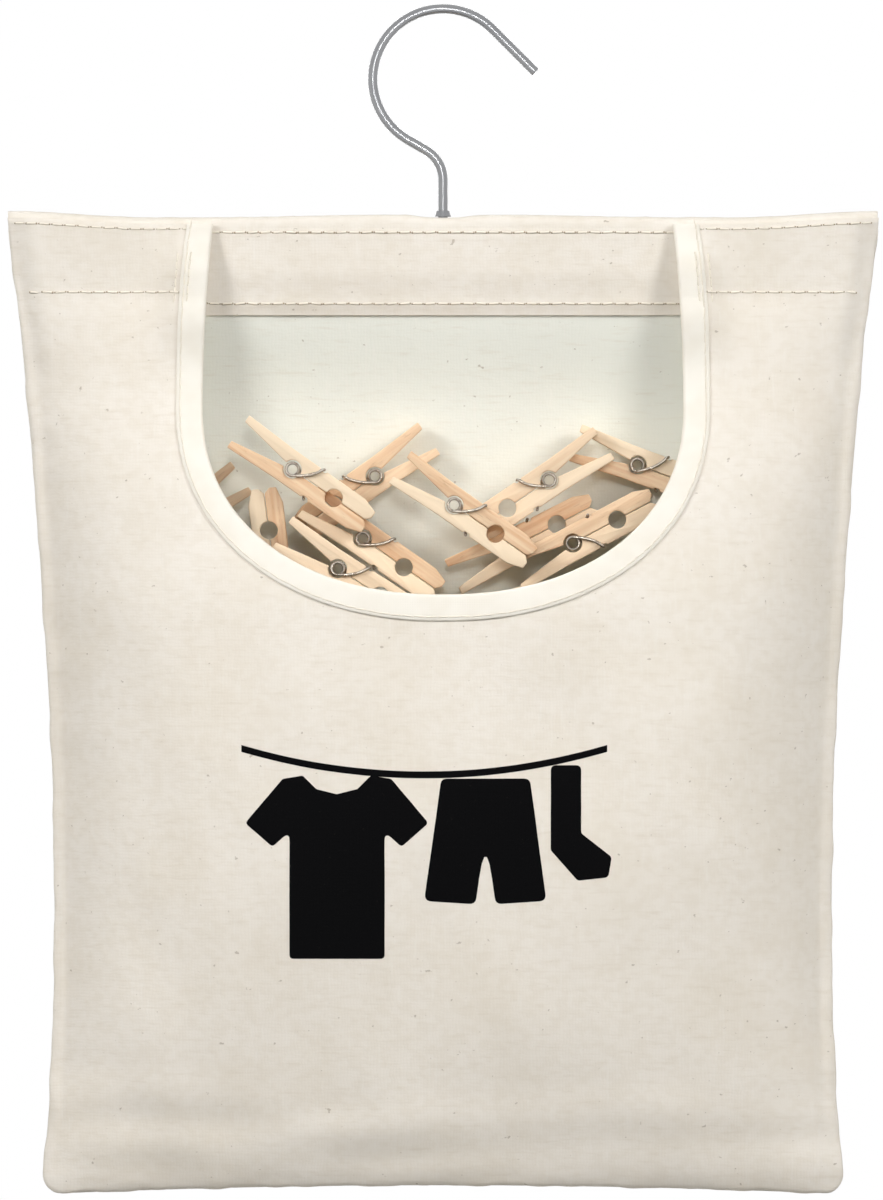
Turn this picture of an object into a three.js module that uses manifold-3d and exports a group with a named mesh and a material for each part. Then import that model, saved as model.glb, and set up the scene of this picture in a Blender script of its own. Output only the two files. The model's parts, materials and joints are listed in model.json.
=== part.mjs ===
// A canvas peg bag that hangs by a wire hook, with a handful of wooden spring pegs in its mouth.
// Millimetres, +Z up, the mouth faces -Y. The origin is the inside top of the hook's crown.
import * as THREE from 'three';
import { mergeVertices } from 'three/addons/utils/BufferGeometryUtils.js';
import Module from 'manifold-3d';

const { smoothstep, degToRad, lerp } = THREE.MathUtils;

// Driving dimensions: cloth and clearances
const CLOTH = 0.9;
const GAP = 0.3;
const LOOSE_GAP = 0.45;
const SEAM_WIDTH = 5;
const SEAM_HALF_GAP = 0.2;
const EDGE_CLOSE = 11;

// Driving dimensions: wire hook
const WIRE_RADIUS = 1.8;
const HOOK_RADIUS = 26.6;
const TIP_ANGLE = 45;
const TIP_LENGTH = 23;
const NECK_ANGLE = 240;
const NECK_BEND = 13;
const SHANK_SHOWN = 14.2;
const SHANK_PLAY = 0.4;
const HEAD_FLARE = 0.7;
const HEAD_HEIGHT = 2;
const WASHER_THICK = 0.8;
const COLLAR_WALL = 0.4;
const COLLAR_FLARE = 0.6;
const COLLAR_HEIGHT = 2.3;

// Driving dimensions: slat and the hem sleeve round it
const SLAT_THICK = 8;
const SLAT_HEIGHT = 18.6;
const SLAT_ROUND = 2.9;
const SLAT_END_ROOM = 12.2;
const COUNTERBORE_DEPTH = 4;
const FLAP_SLOPE = 12;
const HEM_MARGIN = 4.4;
const HEM_SEAM_SHARE = 0.35;
const POUCH_LAP = 6;
const STRAP_DROP = 1;

// Driving dimensions: bag. Half widths are at shares of the bag's height down from its top, and the swell of each
// panel is at shares of the pouch's height. The front swells by shares of its depth, which the layers of pegs set.
const BAG_HEIGHT = 368.9;
const CORNER_LIFT = 2.4;
const CORNER_LIFT_WIDTH = 55;
const CORNER_RADIUS = 8;
const BOTTOM_ARCH = 3.4;
const ARCH_REACH = 67;
const HALF_WIDTHS = [
  [0, 165.5], [0.124, 159.5], [0.37, 152], [0.6, 147.5], [0.74, 147], [0.885, 148.5], [1, 152],
];
const FRONT_SWELL = [
  [0, 0], [0.124, 0.441], [0.242, 0.824], [0.36, 1], [0.566, 0.912], [0.773, 0.588], [0.935, 0.162], [1, 0],
];
const LIP_ROOM = 1.9;
const BACK_SWELL = [[0, 0], [0.124, 3.6], [0.345, 6], [0.596, 8], [0.832, 5], [1, 0]];
const SWELL_POWER = 3.2;

// Driving dimensions: mouth and its binding tape
const MOUTH_TOP_HALF = 87.7;
const MOUTH_HALF = 91.8;
const MOUTH_SIDE = 71.1;
const MOUTH_DROP = 71.8;
const MOUTH_POWER = 2.2;
const TAPE_WIDTH = 9;
const TAPE_THICK = 0.8;
const TAPE_FADE = 22;

// Driving dimensions: one peg, u along its legs with the jaws at +u, w across them
const LEG_WIDTH = 8.6;
const LEG_THICK = 6.6;
const TAIL_LENGTH = 25;
const TAIL_SPREAD = 4.4;
const TAIL_THICK = 3;
const JAW_LENGTH = 35;
const JAW_TIP = 2.6;
const JAW_INNER_BEVEL = 1.9;
const JAW_OUTER_BEVEL = 6;
const NOTCH_U = 19;
const NOTCH_RADIUS = 3.4;
const FACE_GAP = 0.15;
const ARM_U = 10;
const ARM_GROOVE = 0.8;

// Driving dimensions: peg spring
const SPRING_WIRE = 0.7;
const COIL_RADIUS = 2.4;
const COIL_CURLS = 5;
const STEPS_PER_CURL = 8;
const SPRING_SIDES = 5;
const ARM_END = 2;

// Where the pegs lie, in layers from the back panel forward: the place of the jaws' end across the bag and
// above the mouth's foot, the direction of the jaws in degrees above +X, the side (+w or -w) of the moving
// leg, the side of the leg that the spring's front arm lies over, and how far the peg leans forward out of
// its layer.
const LAYER_GAP = 0.4;
const PEGS = [
  { x: -28.2, rise: 28.2, jaws: -35, moving: 1, arm: 1, layer: 2, forward: -3 },
  { x: -54.4, rise: 25.7, jaws: -145, moving: -1, arm: -1, layer: 0, forward: -0.5 },
  { x: -1.7, rise: 2.1, jaws: -35, moving: 1, arm: 1, layer: 1, forward: -2.2 },
  { x: -10.4, rise: -8.3, jaws: -33, moving: -1, arm: 1, layer: 2, forward: -1.1 },
  { x: -67.8, rise: 41.1, jaws: 97, moving: 1, arm: -1, layer: 1, forward: -1 },
  { x: -125.3, rise: 10.9, jaws: -145, moving: 1, arm: -1, layer: 0, forward: 0.8 },
  { x: 32.9, rise: 14.7, jaws: -35, moving: 1, arm: 1, layer: 2, forward: -1.2 },
  { x: 11.1, rise: 24.7, jaws: -146, moving: -1, arm: -1, layer: 1, forward: -1.2 },
  { x: 106.5, rise: 38, jaws: -20, moving: 1, arm: 1, layer: 0, forward: 0.5 },
  { x: 80, rise: 36.8, jaws: 28, moving: -1, arm: -1, layer: 1, forward: -1 },
  { x: 57.3, rise: 34.8, jaws: 27, moving: 1, arm: -1, layer: 0, forward: -1 },
  { x: 40.5, rise: 0.7, jaws: 17, moving: -1, arm: -1, layer: 0, forward: -1.8 },
];

// Colours
const CANVAS = { color: 0xe9e0d0, roughness: 0.95, metalness: 0 };
const TAPE = { color: 0xf4f1ea, roughness: 0.9, metalness: 0 };
const SLAT_WOOD = { color: 0xcfa97a, roughness: 0.7, metalness: 0 };
const PEG_WOOD = { color: 0xe6bf93, roughness: 0.65, metalness: 0 };
const ZINC = { color: 0xa9abad, roughness: 0.35, metalness: 0.9 };
const STEEL = { color: 0x8f9194, roughness: 0.35, metalness: 0.9 };

// Levels, from the hook down
const HOOK_CENTRE = WIRE_RADIUS - HOOK_RADIUS;
const NECK_DIRECTION = new THREE.Vector2(-Math.sin(degToRad(NECK_ANGLE)), Math.cos(degToRad(NECK_ANGLE)));
const NECK_START = new THREE.Vector2(
  HOOK_RADIUS * Math.cos(degToRad(NECK_ANGLE)),
  HOOK_CENTRE + HOOK_RADIUS * Math.sin(degToRad(NECK_ANGLE)),
);
const NECK_LENGTH = (-NECK_BEND * (1 + NECK_DIRECTION.y) - NECK_START.x) / NECK_DIRECTION.x;
const SHANK_TOP = NECK_START.y + NECK_LENGTH * NECK_DIRECTION.y - NECK_BEND * NECK_DIRECTION.x;
const HEM_TOP = SHANK_TOP - SHANK_SHOWN;
const BAG_TOP = HEM_TOP - CLOTH;
const BAG_BOTTOM = BAG_TOP - BAG_HEIGHT;
const STRAP_TOP = BAG_TOP - STRAP_DROP;
const SLEEVE_HALF = SLAT_THICK / 2 + LOOSE_GAP;
const FOLD_SPRING = BAG_TOP - SLEEVE_HALF;
const SLAT_TOP = BAG_TOP - GAP;
const SLAT_BOTTOM = SLAT_TOP - SLAT_HEIGHT;
const FLAP_TURN = SLAT_BOTTOM - 2 * GAP;
const FLAP_SEWN = FLAP_TURN - FLAP_SLOPE;
const FLAP_EDGE = FLAP_SEWN - HEM_MARGIN;
const POUCH_TOP = FLAP_EDGE + POUCH_LAP;
const MOUTH_CENTRE = BAG_TOP - MOUTH_SIDE;
const MOUTH_FOOT = MOUTH_CENTRE - MOUTH_DROP;

// Seats of the shank in the slat
const BORE_RADIUS = WIRE_RADIUS + SHANK_PLAY;
const HEAD_RADIUS = WIRE_RADIUS + HEAD_FLARE;
const COUNTERBORE_RADIUS = HEAD_RADIUS + SHANK_PLAY;
const COUNTERBORE_TOP = SLAT_BOTTOM + COUNTERBORE_DEPTH;
const WASHER_TOP = COUNTERBORE_TOP - GAP;
const WASHER_BOTTOM = WASHER_TOP - WASHER_THICK;
const HEAD_TOP = WASHER_BOTTOM - GAP;

// Seats of the spring in a peg
const COIL_SEAT = COIL_RADIUS + SPRING_WIRE + 0.4;
const ARM_SIDE = LEG_WIDTH / 2 + GAP + SPRING_WIRE;
const ARM_W = LEG_THICK - ARM_GROOVE + GAP + SPRING_WIRE;
const PEG_HALF = ARM_SIDE + SPRING_WIRE;
const LAYER_PITCH = PEG_HALF + LEG_WIDTH / 2 + LAYER_GAP;
const PEG_LAYERS = 1 + Math.max(...PEGS.map((peg) => peg.layer));
const FRONT_DEPTH = PEG_LAYERS * LAYER_PITCH + LIP_ROOM;

// Divisions of the cloth grids
const EDGE_STEPS = [1, 0.6, 0.27, 0].map((share) => share * EDGE_CLOSE);
const CORNER_STEPS = [0, 0.075, 0.3, 1].map((share) => share * CORNER_RADIUS);
const STRAP_STEPS = 8;
const SIDE_STEPS = 9;
const FOOT_STEPS = 30;
const BACK_STEPS = 13;

const wasm = await Module();
wasm.setup();

const bag = new THREE.Group();
bag.name = 'peg_bag';

// A smooth curve through a few [position, value] points, that never swings past them.
function profile(points) {
  const secant = (i) => (points[i + 1][1] - points[i][1]) / (points[i + 1][0] - points[i][0]);
  const slope = (i) => {
    const before = secant(Math.max(i - 1, 0));
    const after = secant(Math.min(i, points.length - 2));
    return before * after > 0 ? (2 * before * after) / (before + after) : 0;
  };
  return (position) => {
    const p = THREE.MathUtils.clamp(position, points[0][0], points.at(-1)[0]);
    const i = Math.max(0, points.findIndex((point) => point[0] >= p) - 1);
    const span = points[i + 1][0] - points[i][0];
    const t = (p - points[i][0]) / span;
    const ends = lerp(points[i][1], points[i + 1][1], 3 * t ** 2 - 2 * t ** 3);
    const slopes = (t ** 3 - 2 * t ** 2 + t) * slope(i) + (t ** 3 - t ** 2) * slope(i + 1);
    return ends + span * slopes;
  };
}

// A geometry from points and triangles, turned so that its faces look outward.
function body(points, triangles) {
  let volume = 0;
  for (const [a, b, c] of triangles) {
    volume += points[a].dot(new THREE.Vector3().crossVectors(points[b], points[c]));
  }
  const geometry = new THREE.BufferGeometry();
  geometry.setFromPoints(points);
  geometry.setIndex(triangles.flatMap(([a, b, c]) => (volume > 0 ? [a, b, c] : [a, c, b])));
  geometry.computeVertexNormals();
  return geometry;
}

// Triangles that close a convex ring of points.
function fan(count) {
  return Array.from({ length: count - 2 }, (_, k) => [0, k + 1, k + 2]);
}

// A body swept through rings of points, closed at both ends.
function sweep(rings, cap) {
  const count = rings[0].length;
  const triangles = [];
  for (let r = 0; r < rings.length - 1; r += 1) {
    for (let k = 0; k < count; k += 1) {
      const a = r * count + k;
      const b = r * count + ((k + 1) % count);
      triangles.push([a, b, b + count], [a, b + count, a + count]);
    }
  }
  const last = (rings.length - 1) * count;
  for (const [a, b, c] of cap) {
    triangles.push([a, c, b], [last + a, last + b, last + c]);
  }
  return body(rings.flat(), triangles);
}

// A round wire along a path, with one radius for each path point.
function wire(path, radii, sides) {
  const ahead = (i) => {
    const next = path[Math.min(i + 1, path.length - 1)];
    return next.clone().sub(path[Math.max(i - 1, 0)]).normalize();
  };
  const startsAcross = Math.abs(ahead(0).y) > 0.9;
  let across = startsAcross ? new THREE.Vector3(0, 0, 1) : new THREE.Vector3(0, 1, 0);
  const rings = path.map((point, i) => {
    const along = ahead(i);
    across = across.clone().addScaledVector(along, -across.dot(along)).normalize();
    const up = new THREE.Vector3().crossVectors(along, across);
    return Array.from({ length: sides }, (_, k) => {
      const turn = (2 * Math.PI * k) / sides;
      const spoke = across.clone().multiplyScalar(Math.cos(turn)).addScaledVector(up, Math.sin(turn));
      return point.clone().addScaledVector(spoke, radii[i]);
    });
  });
  return sweep(rings, fan(sides));
}

// A closed sheet of cloth: a grid of points on its inner face, thickened to one side.
function sheet(grid, side) {
  const rows = grid.length;
  const columns = grid[0].length;
  const outer = grid.map((row, r) => row.map((point, c) => {
    const down = grid[Math.min(r + 1, rows - 1)][c].clone().sub(grid[Math.max(r - 1, 0)][c]);
    const along = row[Math.min(c + 1, columns - 1)].clone().sub(row[Math.max(c - 1, 0)]);
    return point.clone().addScaledVector(down.cross(along).normalize(), side * CLOTH);
  }));
  const inside = (r, c) => r * columns + c;
  const outside = (r, c) => rows * columns + inside(r, c);
  const triangles = [];
  for (let r = 0; r < rows - 1; r += 1) {
    for (let c = 0; c < columns - 1; c += 1) {
      triangles.push([inside(r, c), inside(r, c + 1), inside(r + 1, c + 1)]);
      triangles.push([inside(r, c), inside(r + 1, c + 1), inside(r + 1, c)]);
      triangles.push([outside(r, c), outside(r + 1, c + 1), outside(r, c + 1)]);
      triangles.push([outside(r, c), outside(r + 1, c), outside(r + 1, c + 1)]);
    }
  }
  const rim = [];
  for (let c = 0; c < columns - 1; c += 1) {
    rim.push([0, c, 0, c + 1], [rows - 1, c + 1, rows - 1, c]);
  }
  for (let r = 0; r < rows - 1; r += 1) {
    rim.push([r + 1, 0, r, 0], [r, columns - 1, r + 1, columns - 1]);
  }
  for (const [r0, c0, r1, c1] of rim) {
    triangles.push([inside(r0, c0), outside(r0, c0), outside(r1, c1)]);
    triangles.push([inside(r0, c0), outside(r1, c1), inside(r1, c1)]);
  }
  return body([...grid.flat(), ...outer.flat()], triangles);
}

function toManifold(geometry) {
  const bare = geometry.clone();
  bare.deleteAttribute('normal');
  bare.deleteAttribute('uv');
  const merged = mergeVertices(bare);
  const vertProperties = Float32Array.from(merged.getAttribute('position').array);
  const triVerts = Uint32Array.from(merged.getIndex().array);
  return new wasm.Manifold(new wasm.Mesh({ numProp: 3, vertProperties, triVerts }));
}

function fromManifold(manifold) {
  const mesh = manifold.getMesh();
  const geometry = new THREE.BufferGeometry();
  geometry.setAttribute('position', new THREE.Float32BufferAttribute(mesh.vertProperties, 3));
  geometry.setIndex(Array.from(mesh.triVerts));
  geometry.computeVertexNormals();
  return geometry;
}

// Cuts upright round holes on the hook's axis.
function drill(geometry, holes) {
  let result = toManifold(geometry);
  for (const { radius, top, bottom } of holes) {
    const hole = new THREE.CylinderGeometry(radius, radius, top - bottom, 16);
    hole.rotateX(Math.PI / 2);
    hole.translate(0, 0, (top + bottom) / 2);
    result = result.subtract(toManifold(hole));
  }
  return fromManifold(result);
}

function add(name, geometry, finish) {
  const mesh = new THREE.Mesh(geometry, new THREE.MeshStandardMaterial(finish));
  mesh.name = name;
  bag.add(mesh);
}

// The side outline, rounded in at the bottom corners.
const halfWidthAtShare = profile(HALF_WIDTHS);

function outlineHalfWidth(z) {
  return halfWidthAtShare((BAG_TOP - z) / BAG_HEIGHT);
}

function halfWidth(z) {
  const inward = Math.max(0, CORNER_RADIUS - Math.max(0, z - BAG_BOTTOM));
  return outlineHalfWidth(z) - CORNER_RADIUS + Math.sqrt(CORNER_RADIUS ** 2 - inward ** 2);
}

// The bottom edge's arch, and how much of it is left at a height.
function arch(x) {
  return BOTTOM_ARCH * Math.max(0, 1 - (x / outlineHalfWidth(BAG_BOTTOM)) ** 2);
}

function archLeft(z) {
  return 1 - smoothstep(z - BAG_BOTTOM, 0, ARCH_REACH);
}

function pouchShare(x, z) {
  return (POUCH_TOP - z + arch(x) * archLeft(z)) / (POUCH_TOP - BAG_BOTTOM);
}

function swellAcross(x, z) {
  const half = outlineHalfWidth(z) - SEAM_WIDTH;
  return 1 - Math.min(1, Math.abs(x) / half) ** SWELL_POWER;
}

// Half the inside depth of the hem sleeve, closing to the side seams.
function sleeveHalf(x, z) {
  const open = smoothstep(outlineHalfWidth(z) - Math.abs(x), 0, EDGE_CLOSE);
  return lerp(SEAM_HALF_GAP, SLEEVE_HALF, open);
}

function inSleeve(z) {
  return smoothstep(z, MOUTH_CENTRE, POUCH_TOP);
}

function mouthHalf(z) {
  if (z > MOUTH_CENTRE) {
    return lerp(MOUTH_HALF, MOUTH_TOP_HALF, ((z - MOUTH_CENTRE) / MOUTH_SIDE) ** 2);
  }
  const drop = Math.min(1, (MOUTH_CENTRE - z) / MOUTH_DROP);
  return MOUTH_HALF * (1 - drop ** MOUTH_POWER) ** (1 / MOUTH_POWER);
}

// Room for the tape's inner half where a strap lies over the hem.
function tapeRoom(x, z) {
  const fromEdge = Math.abs(x) - mouthHalf(z);
  const beside = 1 - smoothstep(fromEdge, TAPE_WIDTH + 1, 2 * TAPE_WIDTH);
  return (TAPE_THICK + LOOSE_GAP) * beside * smoothstep(z, FLAP_EDGE - TAPE_FADE, FLAP_EDGE);
}

// How far each panel's inner face stands from the seam plane.
const frontSwell = profile(FRONT_SWELL);
const backSwell = profile(BACK_SWELL);

function frontDepth(x, z) {
  const overHem = sleeveHalf(x, z) - SEAM_HALF_GAP + CLOTH + LOOSE_GAP + tapeRoom(x, z);
  const swell = FRONT_DEPTH * frontSwell(pouchShare(x, z)) * swellAcross(x, z);
  return SEAM_HALF_GAP + inSleeve(z) * overHem + swell;
}

// The back comes forward below the slat to meet the hem where it is sewn.
function backDepth(x, z) {
  const besideSlat = lerp(HEM_SEAM_SHARE * inSleeve(z), 1, smoothstep(z, FLAP_SEWN, FLAP_TURN));
  const aroundSlat = besideSlat * (sleeveHalf(x, z) - SEAM_HALF_GAP);
  return SEAM_HALF_GAP + aroundSlat + backSwell(pouchShare(x, z)) * swellAcross(x, z);
}

function foldTop(x) {
  const fromSide = outlineHalfWidth(BAG_TOP) - Math.abs(x);
  return BAG_TOP + CORNER_LIFT * (1 - smoothstep(fromSide, 0, CORNER_LIFT_WIDTH));
}

// Where a row of the back panel is divided, closer together near the side seams.
function columnsAt(z) {
  const edge = halfWidth(z);
  const half = [0.2, 0.4, 0.6, 0.8].map((share) => share * (edge - EDGE_CLOSE));
  half.push(...EDGE_STEPS.map((step) => edge - step));
  return [...half.map((x) => -x).reverse(), 0, ...half];
}

// The back panel: up the back, over the slat, and down in front of it as the hem.
function backPanel() {
  const grid = [];
  const row = (z, at) => grid.push(columnsAt(z).map((x) => at(x)));
  const rise = (z) => row(z, (x) => {
    const raised = z + arch(x) * archLeft(z);
    return new THREE.Vector3(x, backDepth(x, raised), raised);
  });
  CORNER_STEPS.forEach((step) => rise(BAG_BOTTOM + step));
  for (let r = 1; r <= BACK_STEPS; r += 1) {
    rise(lerp(BAG_BOTTOM + CORNER_RADIUS, FLAP_SEWN, r / BACK_STEPS));
  }
  [0.35, 0.65, 1].forEach((share) => rise(lerp(FLAP_SEWN, FLAP_TURN, share)));
  rise(FOLD_SPRING);
  for (const turn of [35, 65, 90, 115, 145]) {
    const cos = Math.cos(degToRad(turn));
    const forward = Math.sign(cos) * Math.abs(cos) ** 0.6;
    const up = Math.sin(degToRad(turn)) ** 0.6;
    row(FOLD_SPRING, (x) => {
      const z = lerp(FOLD_SPRING, foldTop(x), up);
      return new THREE.Vector3(x, forward * sleeveHalf(x, FOLD_SPRING), z);
    });
  }
  row(FOLD_SPRING, (x) => new THREE.Vector3(x, -sleeveHalf(x, FOLD_SPRING), FOLD_SPRING));
  for (const share of [0, 0.25, 0.5, 0.75, 1]) {
    const z = lerp(FLAP_TURN, FLAP_SEWN, share);
    const sewn = smoothstep(share, 0, 1);
    row(z, (x) => new THREE.Vector3(x, lerp(-sleeveHalf(x, z), backDepth(x, z) - GAP, sewn), z));
  }
  row(FLAP_EDGE, (x) => new THREE.Vector3(x, backDepth(x, FLAP_EDGE) - GAP, FLAP_EDGE));
  const hookHole = { radius: BORE_RADIUS + GAP, top: HEM_TOP + CLOTH, bottom: FOLD_SPRING };
  return drill(sheet(grid, 1), [hookHole]);
}

// Points down one side of the mouth, round its foot and up the other side, with the way into the cloth.
function mouthStations() {
  const left = [];
  for (let k = 0; k < STRAP_STEPS; k += 1) {
    const z = lerp(STRAP_TOP, MOUTH_CENTRE, k / STRAP_STEPS);
    left.push({ x: -mouthHalf(z), z, into: new THREE.Vector2(-1, 0) });
  }
  const foot = [];
  for (let k = 0; k <= FOOT_STEPS; k += 1) {
    const turn = Math.PI + (Math.PI * k) / FOOT_STEPS;
    const side = Math.sign(Math.round(Math.cos(turn) * 1e6));
    const cos = Math.abs(Math.cos(turn));
    const sin = Math.abs(Math.sin(turn));
    const power = 2 - 2 / MOUTH_POWER;
    const into = new THREE.Vector2((side * cos ** power) / MOUTH_HALF, -(sin ** power) / MOUTH_DROP);
    foot.push({
      x: MOUTH_HALF * side * cos ** (2 / MOUTH_POWER),
      z: MOUTH_CENTRE - MOUTH_DROP * sin ** (2 / MOUTH_POWER),
      into: into.normalize(),
    });
  }
  const right = left.map(({ x, z }) => ({ x: -x, z, into: new THREE.Vector2(1, 0) }));
  return [...left, ...foot, ...right.reverse()];
}

// The seam outline that faces each mouth station: side, corner, bottom edge, corner, side.
function seamStations(stations) {
  const onSide = (z) => new THREE.Vector2(-halfWidth(z), z);
  const left = stations.slice(0, STRAP_STEPS).map(({ z }) => onSide(z));
  for (let k = 0; k < SIDE_STEPS; k += 1) {
    left.push(onSide(lerp(MOUTH_CENTRE, BAG_BOTTOM + CORNER_RADIUS, k / SIDE_STEPS)));
  }
  for (const step of [...CORNER_STEPS].reverse()) {
    const x = -halfWidth(BAG_BOTTOM + step);
    left.push(new THREE.Vector2(x, BAG_BOTTOM + step + arch(x)));
  }
  const bottomCount = stations.length - 2 * left.length;
  const corner = left.at(-1).x;
  const bottom = [];
  for (let k = 1; k <= bottomCount; k += 1) {
    const x = lerp(corner, -corner, k / (bottomCount + 1));
    bottom.push(new THREE.Vector2(x, BAG_BOTTOM + arch(x)));
  }
  const right = left.map((p) => new THREE.Vector2(-p.x, p.y)).reverse();
  return [...left, ...bottom, ...right];
}

// The front panel: two straps over the hem and the pouch front, cut out round the mouth.
function frontPanel(stations) {
  const outline = seamStations(stations);
  const grid = stations.map((station, s) => {
    const mouthEdge = new THREE.Vector2(station.x, station.z);
    const length = mouthEdge.distanceTo(outline[s]);
    const first = TAPE_WIDTH + 2;
    const inner = [0, 0.2, 0.4, 0.6, 0.8].map((share) => lerp(first, length - EDGE_CLOSE, share));
    const ways = [0, first / 2, ...inner, ...EDGE_STEPS.map((step) => length - step)];
    return ways.map((way) => {
      const { x, y: z } = mouthEdge.clone().lerp(outline[s], way / length);
      return new THREE.Vector3(x, -frontDepth(x, z), z);
    });
  });
  return sheet(grid, -1);
}

// A point at the middle of the front cloth, lifted along the cloth's outward direction.
function onFront(x, z, lift) {
  const step = 0.5;
  const slopeX = (frontDepth(x + step, z) - frontDepth(x - step, z)) / (2 * step);
  const slopeZ = (frontDepth(x, z + step) - frontDepth(x, z - step)) / (2 * step);
  const outward = new THREE.Vector3(-slopeX, -1, -slopeZ).normalize();
  return new THREE.Vector3(x, -frontDepth(x, z), z).addScaledVector(outward, CLOTH / 2 + lift);
}

// The binding: tape folded over the mouth's edge, as one swept U.
function mouthBinding(stations) {
  const near = CLOTH / 2 + LOOSE_GAP;
  const far = near + TAPE_THICK;
  const nose = -GAP - TAPE_THICK;
  const section = [
    [TAPE_WIDTH, near],
    [TAPE_WIDTH, far],
    [0, far],
    [nose, far / 2],
    [nose, -far / 2],
    [0, -far],
    [TAPE_WIDTH, -far],
    [TAPE_WIDTH, -near],
    [-GAP, -near],
    [-GAP, near],
  ];
  const cap = [[0, 1, 2], [0, 2, 9], [9, 2, 3], [9, 3, 4], [9, 4, 8], [8, 4, 5], [8, 5, 7], [7, 5, 6]];
  const rings = stations.map(({ x, z, into }) => section.map(
    ([inward, lift]) => onFront(x + into.x * inward, z + into.y * inward, lift),
  ));
  return sweep(rings, cap);
}

function hangerSlat() {
  const middle = (SLAT_TOP + SLAT_BOTTOM) / 2;
  const section = (x, inset) => Array.from({ length: 16 }, (_, k) => {
    const quarter = Math.floor(k / 4);
    const turn = degToRad(90 * quarter + 30 * (k % 4));
    const sideY = quarter === 0 || quarter === 3 ? 1 : -1;
    const sideZ = quarter < 2 ? 1 : -1;
    const y = sideY * (SLAT_THICK / 2 - SLAT_ROUND) + (SLAT_ROUND - inset) * Math.cos(turn);
    const z = sideZ * (SLAT_HEIGHT / 2 - SLAT_ROUND) + (SLAT_ROUND - inset) * Math.sin(turn);
    return new THREE.Vector3(x, y, middle + z);
  });
  const end = outlineHalfWidth(SLAT_BOTTOM) - SLAT_END_ROOM;
  const chamfer = SLAT_ROUND / 3;
  const rings = [
    section(-end, chamfer),
    section(chamfer - end, 0),
    section(end - chamfer, 0),
    section(end, chamfer),
  ];
  return drill(sweep(rings, fan(16)), [
    { radius: BORE_RADIUS, top: SLAT_TOP + GAP, bottom: SLAT_BOTTOM - GAP },
    { radius: COUNTERBORE_RADIUS, top: COUNTERBORE_TOP, bottom: SLAT_BOTTOM - GAP },
  ]);
}

// The hook in the plane y = 0: tip, crown, neck, bend, shank, and the head that holds it in the slat.
function hook() {
  const at = (x, z) => new THREE.Vector3(x, 0, z);
  const polar = (angle, radius) => at(radius * Math.cos(degToRad(angle)), radius * Math.sin(degToRad(angle)));
  const path = [];
  const radii = [];
  const draw = (point, radius = WIRE_RADIUS) => {
    path.push(point);
    radii.push(radius);
  };
  const crown = (angle) => polar(angle, HOOK_RADIUS).add(at(0, HOOK_CENTRE));
  const tipWay = polar(TIP_ANGLE - 90, 1);
  draw(crown(TIP_ANGLE).addScaledVector(tipWay, TIP_LENGTH), WIRE_RADIUS / 2);
  draw(crown(TIP_ANGLE).addScaledVector(tipWay, TIP_LENGTH - WIRE_RADIUS / 2));
  const crownSteps = 13;
  for (let k = 0; k <= crownSteps; k += 1) {
    draw(crown(lerp(TIP_ANGLE, NECK_ANGLE, k / crownSteps)));
  }
  const bendSteps = 4;
  for (let k = 0; k <= bendSteps; k += 1) {
    const turn = lerp(NECK_ANGLE - 180, 0, k / bendSteps);
    draw(polar(turn, NECK_BEND).add(at(-NECK_BEND, SHANK_TOP)));
  }
  draw(at(0, BAG_TOP));
  draw(at(0, HEAD_TOP));
  draw(at(0, HEAD_TOP - HEAD_FLARE), HEAD_RADIUS);
  draw(at(0, HEAD_TOP - HEAD_HEIGHT), HEAD_RADIUS * 0.9);
  return wire(path, radii, 12);
}

// A ring on the hook's axis, which may taper upwards.
function ring(innerRadius, footRadius, topRadius, bottom, top) {
  const section = [
    [innerRadius, bottom],
    [footRadius, bottom],
    [topRadius, top],
    [innerRadius, top],
    [innerRadius, bottom],
  ];
  const points = section.map(([radius, z]) => new THREE.Vector2(radius, z));
  return new THREE.LatheGeometry(points, 20).rotateX(Math.PI / 2);
}

// One leg of a peg on the +w side: line notch, coil seat, tapered tail and the groove for the spring's arm.
function legShape() {
  const shape = new THREE.Shape();
  const notchTurn = Math.asin(FACE_GAP / NOTCH_RADIUS);
  const seatTurn = Math.asin(FACE_GAP / COIL_SEAT);
  const grooveFloor = LEG_THICK - ARM_GROOVE;
  const grooveHalf = SPRING_WIRE + LAYER_GAP;
  const grooveTop = grooveHalf + GAP;
  shape.moveTo(JAW_LENGTH, JAW_INNER_BEVEL + FACE_GAP);
  shape.lineTo(JAW_LENGTH - JAW_INNER_BEVEL, FACE_GAP);
  shape.absarc(NOTCH_U, 0, NOTCH_RADIUS, notchTurn, Math.PI - notchTurn);
  shape.absarc(0, 0, COIL_SEAT, seatTurn, Math.PI - seatTurn - 0.2);
  shape.lineTo(-TAIL_LENGTH, TAIL_SPREAD);
  shape.lineTo(-TAIL_LENGTH, TAIL_SPREAD + TAIL_THICK);
  shape.lineTo(-COIL_SEAT, LEG_THICK);
  shape.lineTo(ARM_U - grooveTop, LEG_THICK);
  shape.lineTo(ARM_U - grooveHalf, grooveFloor);
  shape.lineTo(ARM_U + grooveHalf, grooveFloor);
  shape.lineTo(ARM_U + grooveTop, LEG_THICK);
  shape.lineTo(JAW_LENGTH - JAW_OUTER_BEVEL, LEG_THICK);
  shape.lineTo(JAW_LENGTH, JAW_INNER_BEVEL + FACE_GAP + JAW_TIP);
  return shape;
}

function leg(side) {
  const options = { depth: LEG_WIDTH, bevelEnabled: false, curveSegments: 4 };
  const geometry = new THREE.ExtrudeGeometry(legShape(), options);
  geometry.translate(0, 0, -LEG_WIDTH / 2);
  return geometry.rotateX((side * Math.PI) / 2);
}

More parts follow.
